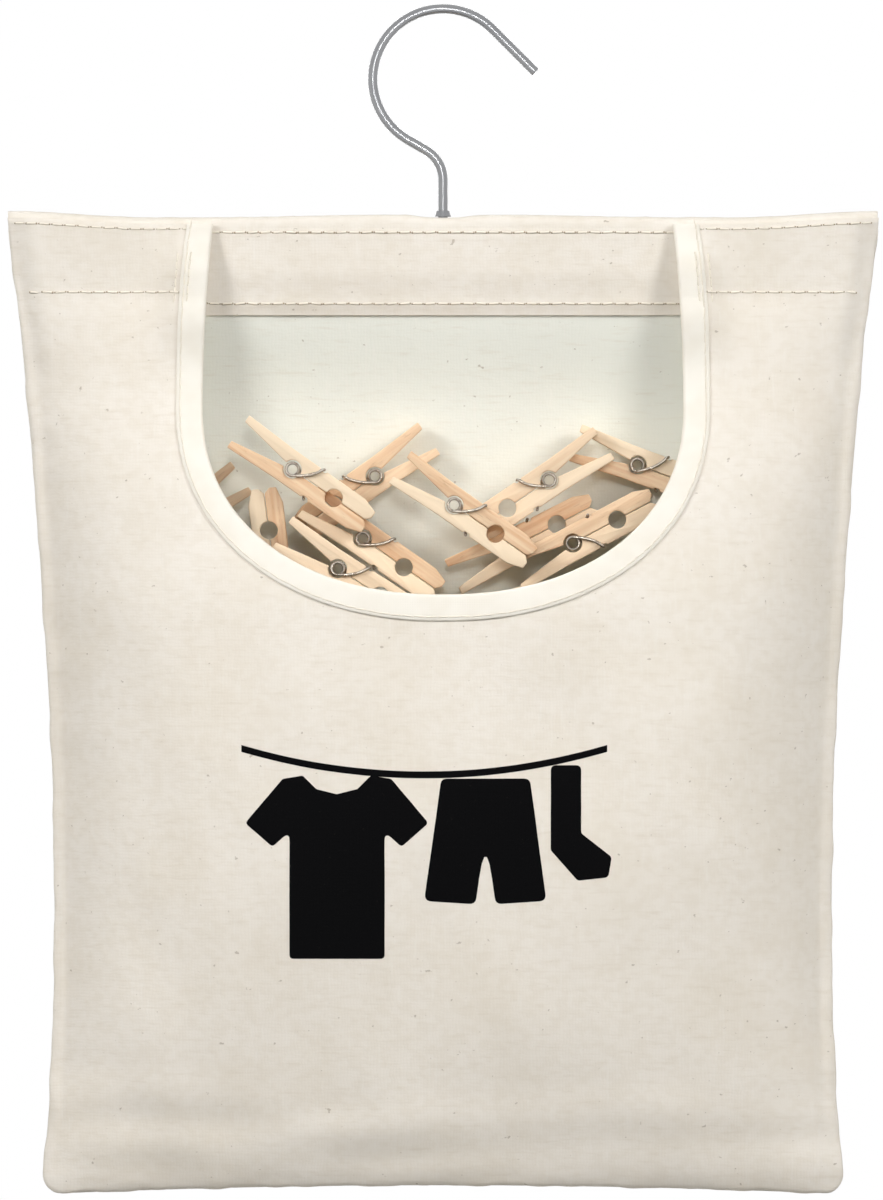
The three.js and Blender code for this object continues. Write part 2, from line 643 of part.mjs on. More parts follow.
// The spring in u, y and w: a coil between the legs, and an arm from the far side of the coil over each leg.
// The arm in front lies over the leg on the given side.
function springPath(side) {
  const reach = Math.hypot(ARM_U, ARM_W);
  const leave = Math.atan2(ARM_W, ARM_U) - Math.acos(COIL_RADIUS / reach);
  const wound = 2 * Math.PI * COIL_CURLS + 2 * leave;
  const steps = Math.round((STEPS_PER_CURL * wound) / (2 * Math.PI));
  const coil = [];
  for (let k = 0; k <= steps; k += 1) {
    const turn = leave - (wound * k) / steps;
    const y = lerp(ARM_SIDE, -ARM_SIDE, k / steps);
    coil.push(new THREE.Vector3(COIL_RADIUS * Math.cos(turn), y, COIL_RADIUS * Math.sin(turn)));
  }
  const bend = 1.4 * SPRING_WIRE;
  const corner = new THREE.Vector3(ARM_U, ARM_SIDE, ARM_W);
  const back = coil[0].clone().sub(corner).normalize();
  const arm = [
    new THREE.Vector3(ARM_U, ARM_END - ARM_SIDE, ARM_W),
    new THREE.Vector3(ARM_U, ARM_SIDE - bend, ARM_W),
    corner.clone().addScaledVector(back, bend / 4).add(new THREE.Vector3(0, -bend / 4, 0)),
    corner.clone().addScaledVector(back, bend),
  ];
  const otherArm = arm.map((p) => new THREE.Vector3(p.x, -p.y, -p.z)).reverse();
  return [...arm, ...coil, ...otherArm].map((p) => new THREE.Vector3(p.x, p.y, -side * p.z));
}

// The least clear distance between stretches of the spring wire that are not neighbours along it.
function springSelfGap(path) {
  const fine = 4;
  const points = new THREE.CatmullRomCurve3(path).getSpacedPoints(path.length * fine);
  let least = Infinity;
  for (let i = 0; i < points.length; i += 1) {
    for (let j = i + (STEPS_PER_CURL - 2) * fine; j < points.length; j += 1) {
      least = Math.min(least, points[i].distanceTo(points[j]) - 2 * SPRING_WIRE);
    }
  }
  return least;
}

// The coil's place, back along the legs from the jaws' end.
function coilPlace({ x, rise, jaws }) {
  const turn = degToRad(jaws);
  return new THREE.Vector2(x - JAW_LENGTH * Math.cos(turn), MOUTH_FOOT + rise - JAW_LENGTH * Math.sin(turn));
}

// Each peg stands in its layer, counted from the back panel beside the outermost back peg.
function pegs() {
  console.log('least gap between curls of a peg spring, mm:', springSelfGap(springPath(1)).toFixed(2));
  const bearing = Math.max(...PEGS.filter((peg) => peg.layer === 0).map((peg) => coilPlace(peg).x));
  const backFace = backDepth(bearing, MOUTH_FOOT + MOUTH_DROP * 0.7);
  PEGS.forEach((peg, i) => {
    const label = `peg_${String(i + 1).padStart(2, '0')}`;
    const y = backFace - GAP - PEG_HALF - peg.layer * LAYER_PITCH - peg.forward;
    const coil = coilPlace(peg);
    const place = new THREE.Matrix4().makeRotationY(-degToRad(peg.jaws));
    place.setPosition(coil.x, y, coil.y);
    const path = springPath(peg.arm);
    const spring = wire(path, path.map(() => SPRING_WIRE), SPRING_SIDES);
    add(`${label}_fixed_leg`, leg(-peg.moving).applyMatrix4(place), PEG_WOOD);
    add(`${label}_moving_leg`, leg(peg.moving).applyMatrix4(place), PEG_WOOD);
    add(`${label}_spring`, spring.applyMatrix4(place), STEEL);
  });
}

const mouth = mouthStations();
const shankHole = WIRE_RADIUS + GAP;
const collarTop = shankHole + COLLAR_WALL;
const collarBottom = HEM_TOP + GAP;
const collar = ring(shankHole, collarTop + COLLAR_FLARE, collarTop, collarBottom, collarBottom + COLLAR_HEIGHT);
const washerEdge = COUNTERBORE_RADIUS - GAP;
const washer = ring(shankHole, washerEdge, washerEdge, WASHER_BOTTOM, WASHER_TOP);
add('back_panel', backPanel(), CANVAS);
add('front_panel', frontPanel(mouth), CANVAS);
add('mouth_binding', mouthBinding(mouth), TAPE);
add('hanger_slat', hangerSlat(), SLAT_WOOD);
add('hook', hook(), ZINC);
add('hook_collar', collar, ZINC);
add('hook_washer', washer, ZINC);
pegs();

export default bag;
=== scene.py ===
"""Looks of a canvas peg bag that hangs by a wire hook, with wooden spring pegs in its mouth."""
import json
import math

import bmesh
import bpy
import numpy as np
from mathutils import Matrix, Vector, geometry, noise

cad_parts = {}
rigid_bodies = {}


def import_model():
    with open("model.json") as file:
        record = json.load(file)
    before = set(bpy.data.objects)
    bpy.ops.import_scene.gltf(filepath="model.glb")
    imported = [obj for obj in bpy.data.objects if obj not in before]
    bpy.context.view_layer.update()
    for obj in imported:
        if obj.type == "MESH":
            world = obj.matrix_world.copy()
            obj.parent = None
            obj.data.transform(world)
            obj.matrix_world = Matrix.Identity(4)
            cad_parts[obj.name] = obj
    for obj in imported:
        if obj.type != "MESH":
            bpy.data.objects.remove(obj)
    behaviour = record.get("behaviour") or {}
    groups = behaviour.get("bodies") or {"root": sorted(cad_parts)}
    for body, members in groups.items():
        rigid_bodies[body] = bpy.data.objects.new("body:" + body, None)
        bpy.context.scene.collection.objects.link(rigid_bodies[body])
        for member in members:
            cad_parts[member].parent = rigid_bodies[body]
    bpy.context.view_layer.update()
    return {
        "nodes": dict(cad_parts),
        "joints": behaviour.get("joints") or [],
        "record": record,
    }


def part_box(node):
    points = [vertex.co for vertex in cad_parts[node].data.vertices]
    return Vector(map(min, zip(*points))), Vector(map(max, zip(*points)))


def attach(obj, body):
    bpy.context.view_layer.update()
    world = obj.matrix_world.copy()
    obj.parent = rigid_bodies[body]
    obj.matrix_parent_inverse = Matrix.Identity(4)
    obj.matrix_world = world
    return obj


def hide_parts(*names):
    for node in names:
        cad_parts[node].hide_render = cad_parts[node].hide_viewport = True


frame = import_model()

MM = 0.001

# Cloth and clearances, in millimetres as all sizes here
CLOTH = 0.9
WEAVE_PITCH = 1.25
GAP = 0.3
LOOSE_GAP = 0.45
SEAM_WIDTH = 5
SEAM_HALF_GAP = 0.05
EDGE_CLOSE = 11
EDGE_ROLL = 1.8
FRONT_ROLL = (30, 20, 4)
BACK_ROLL = (11, 11, 1.6)

# Bag, with the mouth facing -Y
BAG_TOP = -78.117
BAG_HEIGHT = 368.9
BAG_BOTTOM = BAG_TOP - BAG_HEIGHT
CORNER_LIFT = 2.4
CORNER_LIFT_WIDTH = 55
HEM_RISE = 1
CORNER_RADIUS = 8
CORNER_STEPS = np.array([0, 0.02, 0.075, 0.17, 0.3, 0.46, 0.64, 0.82])
BOTTOM_ARCH = 3.4
ARCH_REACH = 67
HALF_WIDTHS = [
    (0, 165.5), (0.124, 159.5), (0.37, 152), (0.6, 147.5), (0.74, 147), (0.885, 148.5), (1, 152),
]
FRONT_DEPTH = 32
FRONT_SWELL = [
    (0, 0), (0.124, 0.441), (0.242, 0.824), (0.36, 1), (0.566, 0.912), (0.773, 0.63), (0.92, 0.26), (1, 0),
]
BACK_SWELL = [(0, 0), (0.124, 3.6), (0.345, 6), (0.596, 8), (0.832, 5), (1, 0)]
FRONT_SIDE_POWER = 4.8
BACK_SIDE_POWER = 3.2

# Hem sleeve round the slat, and its flap
SLEEVE_HALF = 4.45
FOLD_SPRING = BAG_TOP - SLEEVE_HALF
FLAP_TURN = BAG_TOP - 19.5
FLAP_SEWN = FLAP_TURN - 12
FLAP_EDGE = FLAP_SEWN - 4.4
HEM_SEAM_SHARE = -0.6
POUCH_TOP = FLAP_EDGE + 6
STRAP_TOP = BAG_TOP - 1.6
TURNED_UNDER = 9
FOLD_ROUND = 0.08
FOLD_SQUARE = 0.6
PRESSED = 0.35

# Mouth and its binding tape
MOUTH_TOP_HALF = 87.7
MOUTH_HALF = 91.8
MOUTH_SIDE = 71.1
MOUTH_DROP = 71.8
MOUTH_POWER = 2.2
MOUTH_CENTRE = BAG_TOP - MOUTH_SIDE
MOUTH_FOOT = MOUTH_CENTRE - MOUTH_DROP
TAPE_WIDTH = 9
TAPE_THICK = 0.8
TAPE_FADE = 22
TAPE_REST = 0.15
STRAP_LIFT = 6
STRAP_STATIONS = 36

# Heights of the cloth's creases, with two where wide and narrow ones or sides and bottom differ
SEAM_PUCKERS = (1.1, 1.2)
SEAM_WAVES = (0.45, 0.5)
FRONT_DRAPE = (2.4, 1.1)
BACK_DRAPE = (1.3, 0.5)
FRONT_DIMPLES = 0.3
BACK_DIMPLES = 0.25
FOOT_RIPPLES = 1.7
FOLD_PUCKERS = 0.45
HEM_PUCKERS = 0.5
HEM_GATHERS = 0.45
TAPE_PUCKERS = 0.14

# Wire hook and its ferrule
WIRE_RADIUS = 1.8
HOOK_RADIUS = 26.6
TIP_ANGLE = 45
TIP_LENGTH = 23
NECK_ANGLE = 240
NECK_BEND = 13
SHANK_TOP = -63.02
HEAD_TOP = -94.42
HEAD_RADIUS = 2.5
WIRE_SIDES = 32

# Peg: u along its legs with the jaws at +u, w across them
LEG_WIDTH = 8.6
LEG_THICK = 6.6
TAIL_LENGTH = 25
TAIL_SPREAD = 4.4
TAIL_THICK = 3
JAW_LENGTH = 35
JAW_TIP = 2.6
JAW_INNER_BEVEL = 1.9
JAW_OUTER_BEVEL = 6
NOTCH_U = 19
NOTCH_RADIUS = 3.4
FACE_GAP = 0.15
ARM_U = 10
ARM_GROOVE = 0.8
SPRING_WIRE = 0.7
COIL_RADIUS = 2.4
COIL_SEAT = 3.5
COIL_CURLS = 5
ARM_SIDE = LEG_WIDTH / 2 + GAP + SPRING_WIRE
ARM_W = LEG_THICK - ARM_GROOVE + GAP + SPRING_WIRE
ARM_END = 2
ARM_BOW = 0.9
LAP_START = 2
LAP_END = 5
SPRING_SHOWN = 0.82
LEG_BEVEL = 0.4
FRONT_ARMS = (1, -1, 1, 1, -1, -1, 1, -1, 1, -1, -1, -1)

# Stitches, with the tape's as pitch, thread radius and share of painted needle-hole shade, and where the rows
# across end
STITCH_PITCH = 4.7
THREAD_RADIUS = 0.38
STITCH_SWAY = 0.09
TAPE_STITCH = (4.4, 0.24, 0.7)
TACK_STITCH = (3.2, 0.34, 0.8)
HEM_ROW_HALF = 96
STRAP_ROW_TOP = 160
STRAP_ROW_FOOT = 154

# The photographed view: its middle and height in the plane that it is measured in, and the lens
VIEW_X = -0.57
VIEW_Z = -222.1
VIEW_HEIGHT = 453.6
VIEW_PLANE = -15
LENS = 600
SENSOR = 36

# Studio floor
FLOOR_RADIUS = 820
FLOOR_DROP = 420


# Surfaces

def smoothstep(value, low, high):
    t = np.clip((value - low) / (high - low), 0, 1)
    return t * t * (3 - 2 * t)


def lerp(a, b, share):
    return a + (b - a) * share


def profile(points):
    """A smooth curve through points that doesn't overshoot them."""
    at, value = np.array(points, float).T
    secant = np.diff(value) / np.diff(at)
    before = np.concatenate([secant[:1], secant])
    after = np.concatenate([secant, secant[-1:]])
    same_way = before * after > 0
    slope = np.where(same_way, 2 * before * after / np.where(same_way, before + after, 1), 0)

    def curve(position):
        p = np.clip(position, at[0], at[-1])
        i = np.clip(np.searchsorted(at, p) - 1, 0, len(secant) - 1)
        span = at[i + 1] - at[i]
        t = (p - at[i]) / span
        ends = lerp(value[i], value[i + 1], t * t * (3 - 2 * t))
        return ends + span * ((t**3 - 2 * t**2 + t) * slope[i] + (t**3 - t**2) * slope[i + 1])

    return curve


half_width_at_share = profile(HALF_WIDTHS)
front_swell = profile(FRONT_SWELL)
back_swell = profile(BACK_SWELL)


def outline_half_width(z):
    return half_width_at_share((BAG_TOP - z) / BAG_HEIGHT)


def half_width(z):
    """The side outline, rounded in at the bottom corners."""
    inward = np.maximum(0, CORNER_RADIUS - np.maximum(0, z - BAG_BOTTOM))
    return outline_half_width(z) - CORNER_RADIUS + np.sqrt(CORNER_RADIUS**2 - inward**2)


def arch(x):
    return BOTTOM_ARCH * np.maximum(0, 1 - (x / outline_half_width(BAG_BOTTOM)) ** 2)


def arch_left(z):
    return 1 - smoothstep(z - BAG_BOTTOM, 0, ARCH_REACH)


def pouch_share(x, z):
    return (POUCH_TOP - z + arch(x) * arch_left(z)) / (POUCH_TOP - BAG_BOTTOM)


def swell_across(x, z, power):
    half = outline_half_width(z) - SEAM_WIDTH
    return 1 - np.minimum(1, np.abs(x) / half) ** power


def sleeve_half(x, z):
    """Half the inside depth of the hem sleeve, closing to the side seams."""
    return lerp(SEAM_HALF_GAP, SLEEVE_HALF, smoothstep(outline_half_width(z) - np.abs(x), 0, EDGE_CLOSE))


def in_sleeve(z):
    return smoothstep(z, MOUTH_CENTRE, POUCH_TOP)


def mouth_half(z):
    above = lerp(MOUTH_HALF, MOUTH_TOP_HALF, ((z - MOUTH_CENTRE) / MOUTH_SIDE) ** 2)
    drop = np.clip((MOUTH_CENTRE - z) / MOUTH_DROP, 0, 1)
    below = MOUTH_HALF * (1 - drop**MOUTH_POWER) ** (1 / MOUTH_POWER)
    return np.where(z > MOUTH_CENTRE, above, below)


def tape_room(x, z):
    """Room for the tape's inner half, and the lift of a strap's free edge, over the hem."""
    from_edge = np.abs(x) - mouth_half(z)
    beside = 1 - smoothstep(from_edge, TAPE_WIDTH + 1, 2 * TAPE_WIDTH)
    room = (TAPE_THICK + LOOSE_GAP) * beside * smoothstep(z, FLAP_EDGE - TAPE_FADE, FLAP_EDGE)
    free = 1 - smoothstep(from_edge, 0, 3 * TAPE_WIDTH)
    low = smoothstep(STRAP_TOP - z, 0, 20) * smoothstep(z, MOUTH_CENTRE, FLAP_EDGE)
    return room + STRAP_LIFT * free * low


def front_depth(x, z):
    over_hem = sleeve_half(x, z) - SEAM_HALF_GAP + CLOTH + LOOSE_GAP + tape_room(x, z)
    swell = FRONT_DEPTH * front_swell(pouch_share(x, z)) * swell_across(x, z, FRONT_SIDE_POWER)
    return SEAM_HALF_GAP + in_sleeve(z) * over_hem + swell


def back_depth(x, z):
    beside_slat = lerp(HEM_SEAM_SHARE * in_sleeve(z), 1, smoothstep(z, FLAP_SEWN, FLAP_TURN))
    around_slat = beside_slat * (sleeve_half(x, z) - SEAM_HALF_GAP)
    return SEAM_HALF_GAP + around_slat + back_swell(pouch_share(x, z)) * swell_across(x, z, BACK_SIDE_POWER)


def hem_depth(x, z):
    """How far back the hem's inner face lies.

    It is in front of the slat, and then goes back to the seam with its edge turned under."""
    sewn_at = back_depth(x, np.minimum(z, FLAP_SEWN)) - 0.1 - PRESSED * CLOTH - 2 * FOLD_ROUND
    straight = np.clip((FLAP_TURN - z) / (FLAP_TURN - FLAP_SEWN), 0, 1)
    share = lerp(straight, smoothstep(straight, 0, 1), 0.6)
    puckers = hem_puckers(x, z, FLAP_SEWN) + hem_puckers(x, z, FOLD_SPRING) + hem_gathers(x, z)
    return lerp(-sleeve_half(x, z), sewn_at, share) - puckers


def corner_lift(x):
    inward = outline_half_width(BAG_TOP) - np.abs(x)
    return CORNER_LIFT * (1 - smoothstep(inward, 0, CORNER_LIFT_WIDTH))


def fold_top(x):
    """The hem's top inside its fold: raised at the corners and a little on both sides of the hook."""
    rise = HEM_RISE * smoothstep(np.abs(x), 4, 16) * (1 - smoothstep(np.abs(x), 26, 85))
    return BAG_TOP + corner_lift(x) + rise


def from_side(x, z):
    """How far in from the side seams a place lies."""
    return half_width(z) - np.abs(x)


def from_bottom(x, z):
    """How far up from the bottom seam a place lies."""
    return z - BAG_BOTTOM - arch(x)


# Creases

def wander(u, v, seed):
    """Smooth noise of about -1 to 1 at each place."""
    u, v = np.broadcast_arrays(u, v)
    flat = [noise.noise(Vector((a, b, seed))) for a, b in zip(u.ravel(), v.ravel())]
    return np.reshape(flat, u.shape)


def seam_puckers(x, z, seed):
    """Small gathers that the side and bottom seams draw into the cloth beside them."""
    in_from, up_from = from_side(x, z), from_bottom(x, z)
    beside = np.exp(-in_from / 9) * smoothstep(in_from, 0, 4)
    above = np.exp(-up_from / 11) * smoothstep(up_from, 0, 4)
    at_sides, at_bottom = SEAM_PUCKERS
    upright = at_sides * beside * wander(z / 13, x / 60, seed)
    return upright + at_bottom * above * wander(x / 17, z / 50, seed + 5)


def pillow(x, z, roll):
    """The cloth's roll to the seams. roll is its width at the sides, its width at the bottom and its depth."""
    side, foot, depth = roll
    near = np.clip(from_side(x, z) / side, 0, 1)
    low = np.clip(from_bottom(x, z) / foot, 0, 1)
    below_hem = smoothstep(-z, -FLAP_EDGE - 10, -FLAP_EDGE + 40)
    return depth * below_hem * np.sqrt(1 - (1 - near) ** 2) * np.sqrt(1 - (1 - low) ** 2)


def front_creases(x, z):
    """How far the front stands out of its plain form: soft drape, seam puckers and ripples above the bottom."""
    in_pouch = smoothstep(from_side(x, z), 4, 40) * smoothstep(-z, -MOUTH_FOOT - 30, -MOUTH_FOOT + 50)
    wide, narrow = FRONT_DRAPE
    drape = wide * wander(x / 46, z / 110, 3.1) + narrow * wander(x / 24 + z / 70, z / 45, 7.7)
    height = z - BAG_BOTTOM
    low = np.exp(-(((height - 24) / 20) ** 2)) * smoothstep(height, 2, 12)
    ripples = FOOT_RIPPLES * low * wander(x / 55, height / 12, 11.3)
    small = seam_puckers(x, z, 2.5) + FRONT_DIMPLES * wander(x / 9, z / 12, 5.9) ** 2
    return in_pouch * drape + ripples + small + pillow(x, z, FRONT_ROLL)


def back_creases(x, z):
    """How far the back stands out of its plain form."""
    inside = smoothstep(from_side(x, z), 4, 45) * smoothstep(z, BAG_BOTTOM + 4, BAG_BOTTOM + 60)
    inside = inside * smoothstep(-z, -POUCH_TOP + 4, -POUCH_TOP + 60)
    wide, narrow = BACK_DRAPE
    drape = wide * (wander(x / 47, z / 120, 13.3) + 0.45) + narrow * wander(x / 20 - z / 80, z / 55, 17.9)
    small = seam_puckers(x, z, 21.5) + BACK_DIMPLES * wander(x / 9, z / 10, 23.1) ** 2
    return inside * drape + small + pillow(x, z, BACK_ROLL)


def ripple(t, seed):
    """A wave of about -1 to 1 that doesn't soon repeat, of some 40 millimetres and less."""
    waves = ((1, 6.7, 1), (0.7, 4.1, 2.3), (0.5, 2.3, 3.1))
    return sum(height * np.sin(t / length + start * seed) for height, length, start in waves) / 2.2


def seam_wave(x, z):
    """How far the side and bottom seams wander in the bag's own plane, along X and Z."""
    height = np.maximum(from_bottom(x, z), 0)
    inward = np.maximum(from_side(x, z), 0)
    sideways = np.where(x < 0, ripple(z, 1.3), ripple(z, 4.4)) * np.exp(-inward / 14)
    at_sides, at_bottom = SEAM_WAVES
    upward = at_bottom * ripple(1.3 * x, 2.9) * np.exp(-height / 12)
    return at_sides * sideways * smoothstep(height, 0, 20), upward


def hem_gathers(x, z):
    """Soft upright folds in the hem where the hook draws it up."""
    down = smoothstep(-z, -FOLD_SPRING, -FOLD_SPRING + 10) * (1 - smoothstep(-z, -FLAP_TURN, -FLAP_SEWN))
    return HEM_GATHERS * down * np.exp(-((x / 48) ** 2)) * (0.6 + wander(x / 13, z / 60, 51.0))


def hem_puckers(x, z, row):
    """Small gathers along a row of stitches across the hem."""
    near = np.exp(-np.abs(z - row) / 4)
    free = 1 - smoothstep(np.abs(x), MOUTH_TOP_HALF - 8, MOUTH_TOP_HALF)
    return HEM_PUCKERS * near * free * (0.5 + wander(x / 7, z / 30, row))


# Meshes

def placed(name, data):
    """An object in the scene for a mesh, a light or a camera."""
    made = bpy.data.objects.new(name, data)
    bpy.context.scene.collection.objects.link(made)
    return made


def new_piece(name, points, faces, material):
    """A piece with its points given in millimetres."""
    mesh = bpy.data.meshes.new(name)
    mesh.from_pydata((np.asarray(points, float) * MM).tolist(), [], [list(f) for f in faces])
    mesh.validate()
    mesh.polygons.foreach_set("use_smooth", [True] * len(mesh.polygons))
    mesh.materials.append(material)
    return placed(name, mesh)


def quads(at):
    """Faces between neighbours in a grid of point numbers."""
    corners = [at[:-1, :-1], at[:-1, 1:], at[1:, 1:], at[1:, :-1]]
    return np.stack([c.ravel() for c in corners], axis=1)


def numbered(rows, columns):
    return np.arange(rows * columns).reshape(rows, columns)


def round_again(at):
    """A grid of point numbers with its first column once more at the end."""
    return np.concatenate([at, at[:, :1]], axis=1)


def mark(mesh, name, values):
    """Gives each point of a mesh a named number or vector."""
    values = np.asarray(values, float)
    kind, field = ("FLOAT_VECTOR", "vector") if values.ndim == 2 else ("FLOAT", "value")
    mesh.attributes.new(name, kind, "POINT").data.foreach_set(field, values.ravel())


def normals_of(grid):
    along = np.gradient(grid, axis=0)
    across = np.gradient(grid, axis=1)
    normal = np.cross(along, across)
    return normal / np.linalg.norm(normal, axis=-1, keepdims=True)


def cloth_sheet(name, inner, thickness, outward, material):
    """A closed sheet of cloth from the points of its inner face.

    outward is +1 or -1 for the side it thickens to. The attribute inner is 1 on its inner side."""
    outer = inner + outward * normals_of(inner) * thickness[..., None]
    at = numbered(*thickness.shape)
    rim = np.concatenate([at[0, :-1], at[:-1, -1], at[-1, :0:-1], at[:0:-1, 0]])
    following = np.roll(rim, -1)
    rim_faces = np.stack([following, rim, rim + at.size, following + at.size], axis=1)
    faces = np.concatenate([quads(at), quads(at + at.size)[:, ::-1], rim_faces])
    points = np.concatenate([inner.reshape(-1, 3), outer.reshape(-1, 3)])
    piece = new_piece(name, points, faces[:, ::-outward], material)
    mark(piece.data, "inner", np.repeat([1, 0], at.size))
    return piece


def frames_along(points):
    """Two directions across a path at each of its points, carried along it without twist."""
    tangents = np.gradient(points, axis=0)
    tangents /= np.linalg.norm(tangents, axis=1, keepdims=True)
    side = np.cross(tangents[0], (0, 1, 0))
    if np.linalg.norm(side) < 0.1:
        side = np.cross(tangents[0], (1, 0, 0))
    sides = []
    for tangent in tangents:
        side = side - tangent * side.dot(tangent)
        side = side / np.linalg.norm(side)
        sides.append(side)
    sides = np.array(sides)
    return sides, np.cross(tangents, sides)


def way_along(path):
    """The length of a path up to each of its points."""
    return np.concatenate([[0], np.cumsum(np.linalg.norm(np.diff(path, axis=0), axis=1))])


def tube(points, radii, sides):
    """Points and faces of a closed tube along a path."""
    points = np.asarray(points, float)
    first, second = frames_along(points)
    turn = 2 * math.pi * np.arange(sides) / sides
    ring = first[:, None] * np.cos(turn)[:, None] + second[:, None] * np.sin(turn)[:, None]
    rings = points[:, None] + np.asarray(radii, float)[:, None, None] * ring
    return closed_sweep(rings)


def closed_sweep(rings):
    """Points and faces of rings joined one to the next, with closed ends."""
    at = numbered(*rings.shape[:2])
    faces = quads(round_again(at)).tolist() + [at[0, ::-1].tolist(), at[-1].tolist()]
    return rings.reshape(-1, 3), faces


def solid_piece(name, points, faces, material):
    """A closed piece with its faces turned outward."""
    piece = new_piece(name, points, faces, material)
    work = bmesh.new()
    work.from_mesh(piece.data)
    bmesh.ops.recalc_face_normals(work, faces=work.faces)
    work.to_mesh(piece.data)
    work.free()
    return piece


def evaluated_mesh(piece):
    """The mesh that an object's modifiers make. The object itself is taken away."""
    view = bpy.context.evaluated_depsgraph_get()
    mesh = bpy.data.meshes.new_from_object(piece.evaluated_get(view), depsgraph=view)
    bpy.data.objects.remove(piece)
    return mesh


# Materials

def linear(hex_colour):
    """An sRGB hex colour as linear red, green, blue and alpha."""
    values = [((hex_colour >> shift) & 255) / 255 for shift in (16, 8, 0)]
    return (*[v / 12.92 if v <= 0.04045 else ((v + 0.055) / 1.055) ** 2.4 for v in values], 1)


def link(tree, value, socket):
    """Gives a socket a plain value, an output socket or another node's first output."""
    if isinstance(value, bpy.types.Node):
        value = value.outputs[0]
    if isinstance(value, bpy.types.NodeSocket):
        tree.links.new(value, socket)
    else:
        socket.default_value = value


def add(tree, kind, inputs=None, **settings):
    """Adds a node with its inputs and settings."""
    node = tree.nodes.new(kind)
    for name, value in settings.items():
        setattr(node, name, value)
    for socket, value in (inputs or {}).items():
        link(tree, value, node.inputs[socket])
    return node


def calc(tree, operation, *values):
    return add(tree, "ShaderNodeMath", dict(enumerate(values)), operation=operation)


def along_frame(tree):
    return add(tree, "ShaderNodeTexCoord").outputs["Object"]


def attribute(tree, name, part="Fac"):
    return add(tree, "ShaderNodeAttribute", attribute_name=name).outputs[part]


def along_grain(tree):
    return attribute(tree, "grain", "Vector")


def new_material(name, **sockets):
    """A material with one surface shader, whose plain values are set on its own sockets."""
    material = bpy.data.materials.new(name)
    material.use_nodes = True
    tree = material.node_tree
    shader = tree.nodes["Principled BSDF"]
    for socket, value in sockets.items():
        shader.inputs[socket.replace("_", " ")].default_value = value
    return material, tree, shader


def weave_height(tree, place, spacing):
    """Plain weave: the height of threads that go over and under each other along X and Z."""
    scaled = add(tree, "ShaderNodeVectorMath", {0: place, 3: math.pi / (spacing * MM)}, operation="SCALE")
    split = add(tree, "ShaderNodeSeparateXYZ", {0: scaled}).outputs
    crossing = calc(tree, "MULTIPLY", calc(tree, "SINE", split["X"]), calc(tree, "SINE", split["Z"]))
    return calc(tree, "POWER", calc(tree, "ABSOLUTE", crossing), 0.5)


def uneven(tree, place, size, shift):
    """Places moved about by up to shift millimetres, so that threads wander as in hand-spun cloth."""
    cloud = add(tree, "ShaderNodeTexNoise", {"Vector": place, "Scale": 1 / (size * MM), "Detail": 2})
    middle = (0.5, 0.5, 0.5)
    centred = add(tree, "ShaderNodeVectorMath", {0: cloud.outputs["Color"], 1: middle}, operation="SUBTRACT")
    moved = add(tree, "ShaderNodeVectorMath", {0: centred, 3: 2 * shift * MM}, operation="SCALE")
    return add(tree, "ShaderNodeVectorMath", {0: place, 1: moved}, operation="ADD")


def speckle(tree, place, size, stretch, low, high):
    """Scattered marks of a size in millimetres, drawn out by stretch along X, Y and Z.

    The result is 0 between them and 1 on them."""
    scale = [1 / (size * MM * s) for s in stretch]
    mapped = add(tree, "ShaderNodeMapping", {"Vector": place, "Scale": scale})
    cloud = add(tree, "ShaderNodeTexNoise", {"Vector": mapped, "Scale": 1, "Detail": 2})
    return add(tree, "ShaderNodeMapRange", {0: cloud, 1: low, 2: high}, interpolation_type="SMOOTHSTEP")


def mixed(tree, base, *layers):
    """A base colour under layers. Each is another colour, the marks that carry it and a share of it."""
    colour = linear(base)
    for other, marks, share in layers:
        if share < 1:
            marks = calc(tree, "MULTIPLY", marks, share)
        mix = add(tree, "ShaderNodeMix", {0: marks, 6: colour, 7: linear(other)}, data_type="RGBA")
        colour = mix.outputs[2]
    return colour


def paint(tree, shader, colour, cloudy=None, smooth=0, rough=0):
    """Gives a surface its colour, and a roughness from smooth to rough where it is cloudy."""
    link(tree, colour, shader.inputs["Base Color"])
    if cloudy is not None:
        varied = add(tree, "ShaderNodeMapRange", {0: cloudy, 3: smooth, 4: rough})
        link(tree, varied, shader.inputs["Roughness"])


def bumped(tree, shader, height, strength, depth):
    bump = add(tree, "ShaderNodeBump", {"Strength": strength, "Distance": depth * MM, "Height": height})
    link(tree, bump, shader.inputs["Normal"])


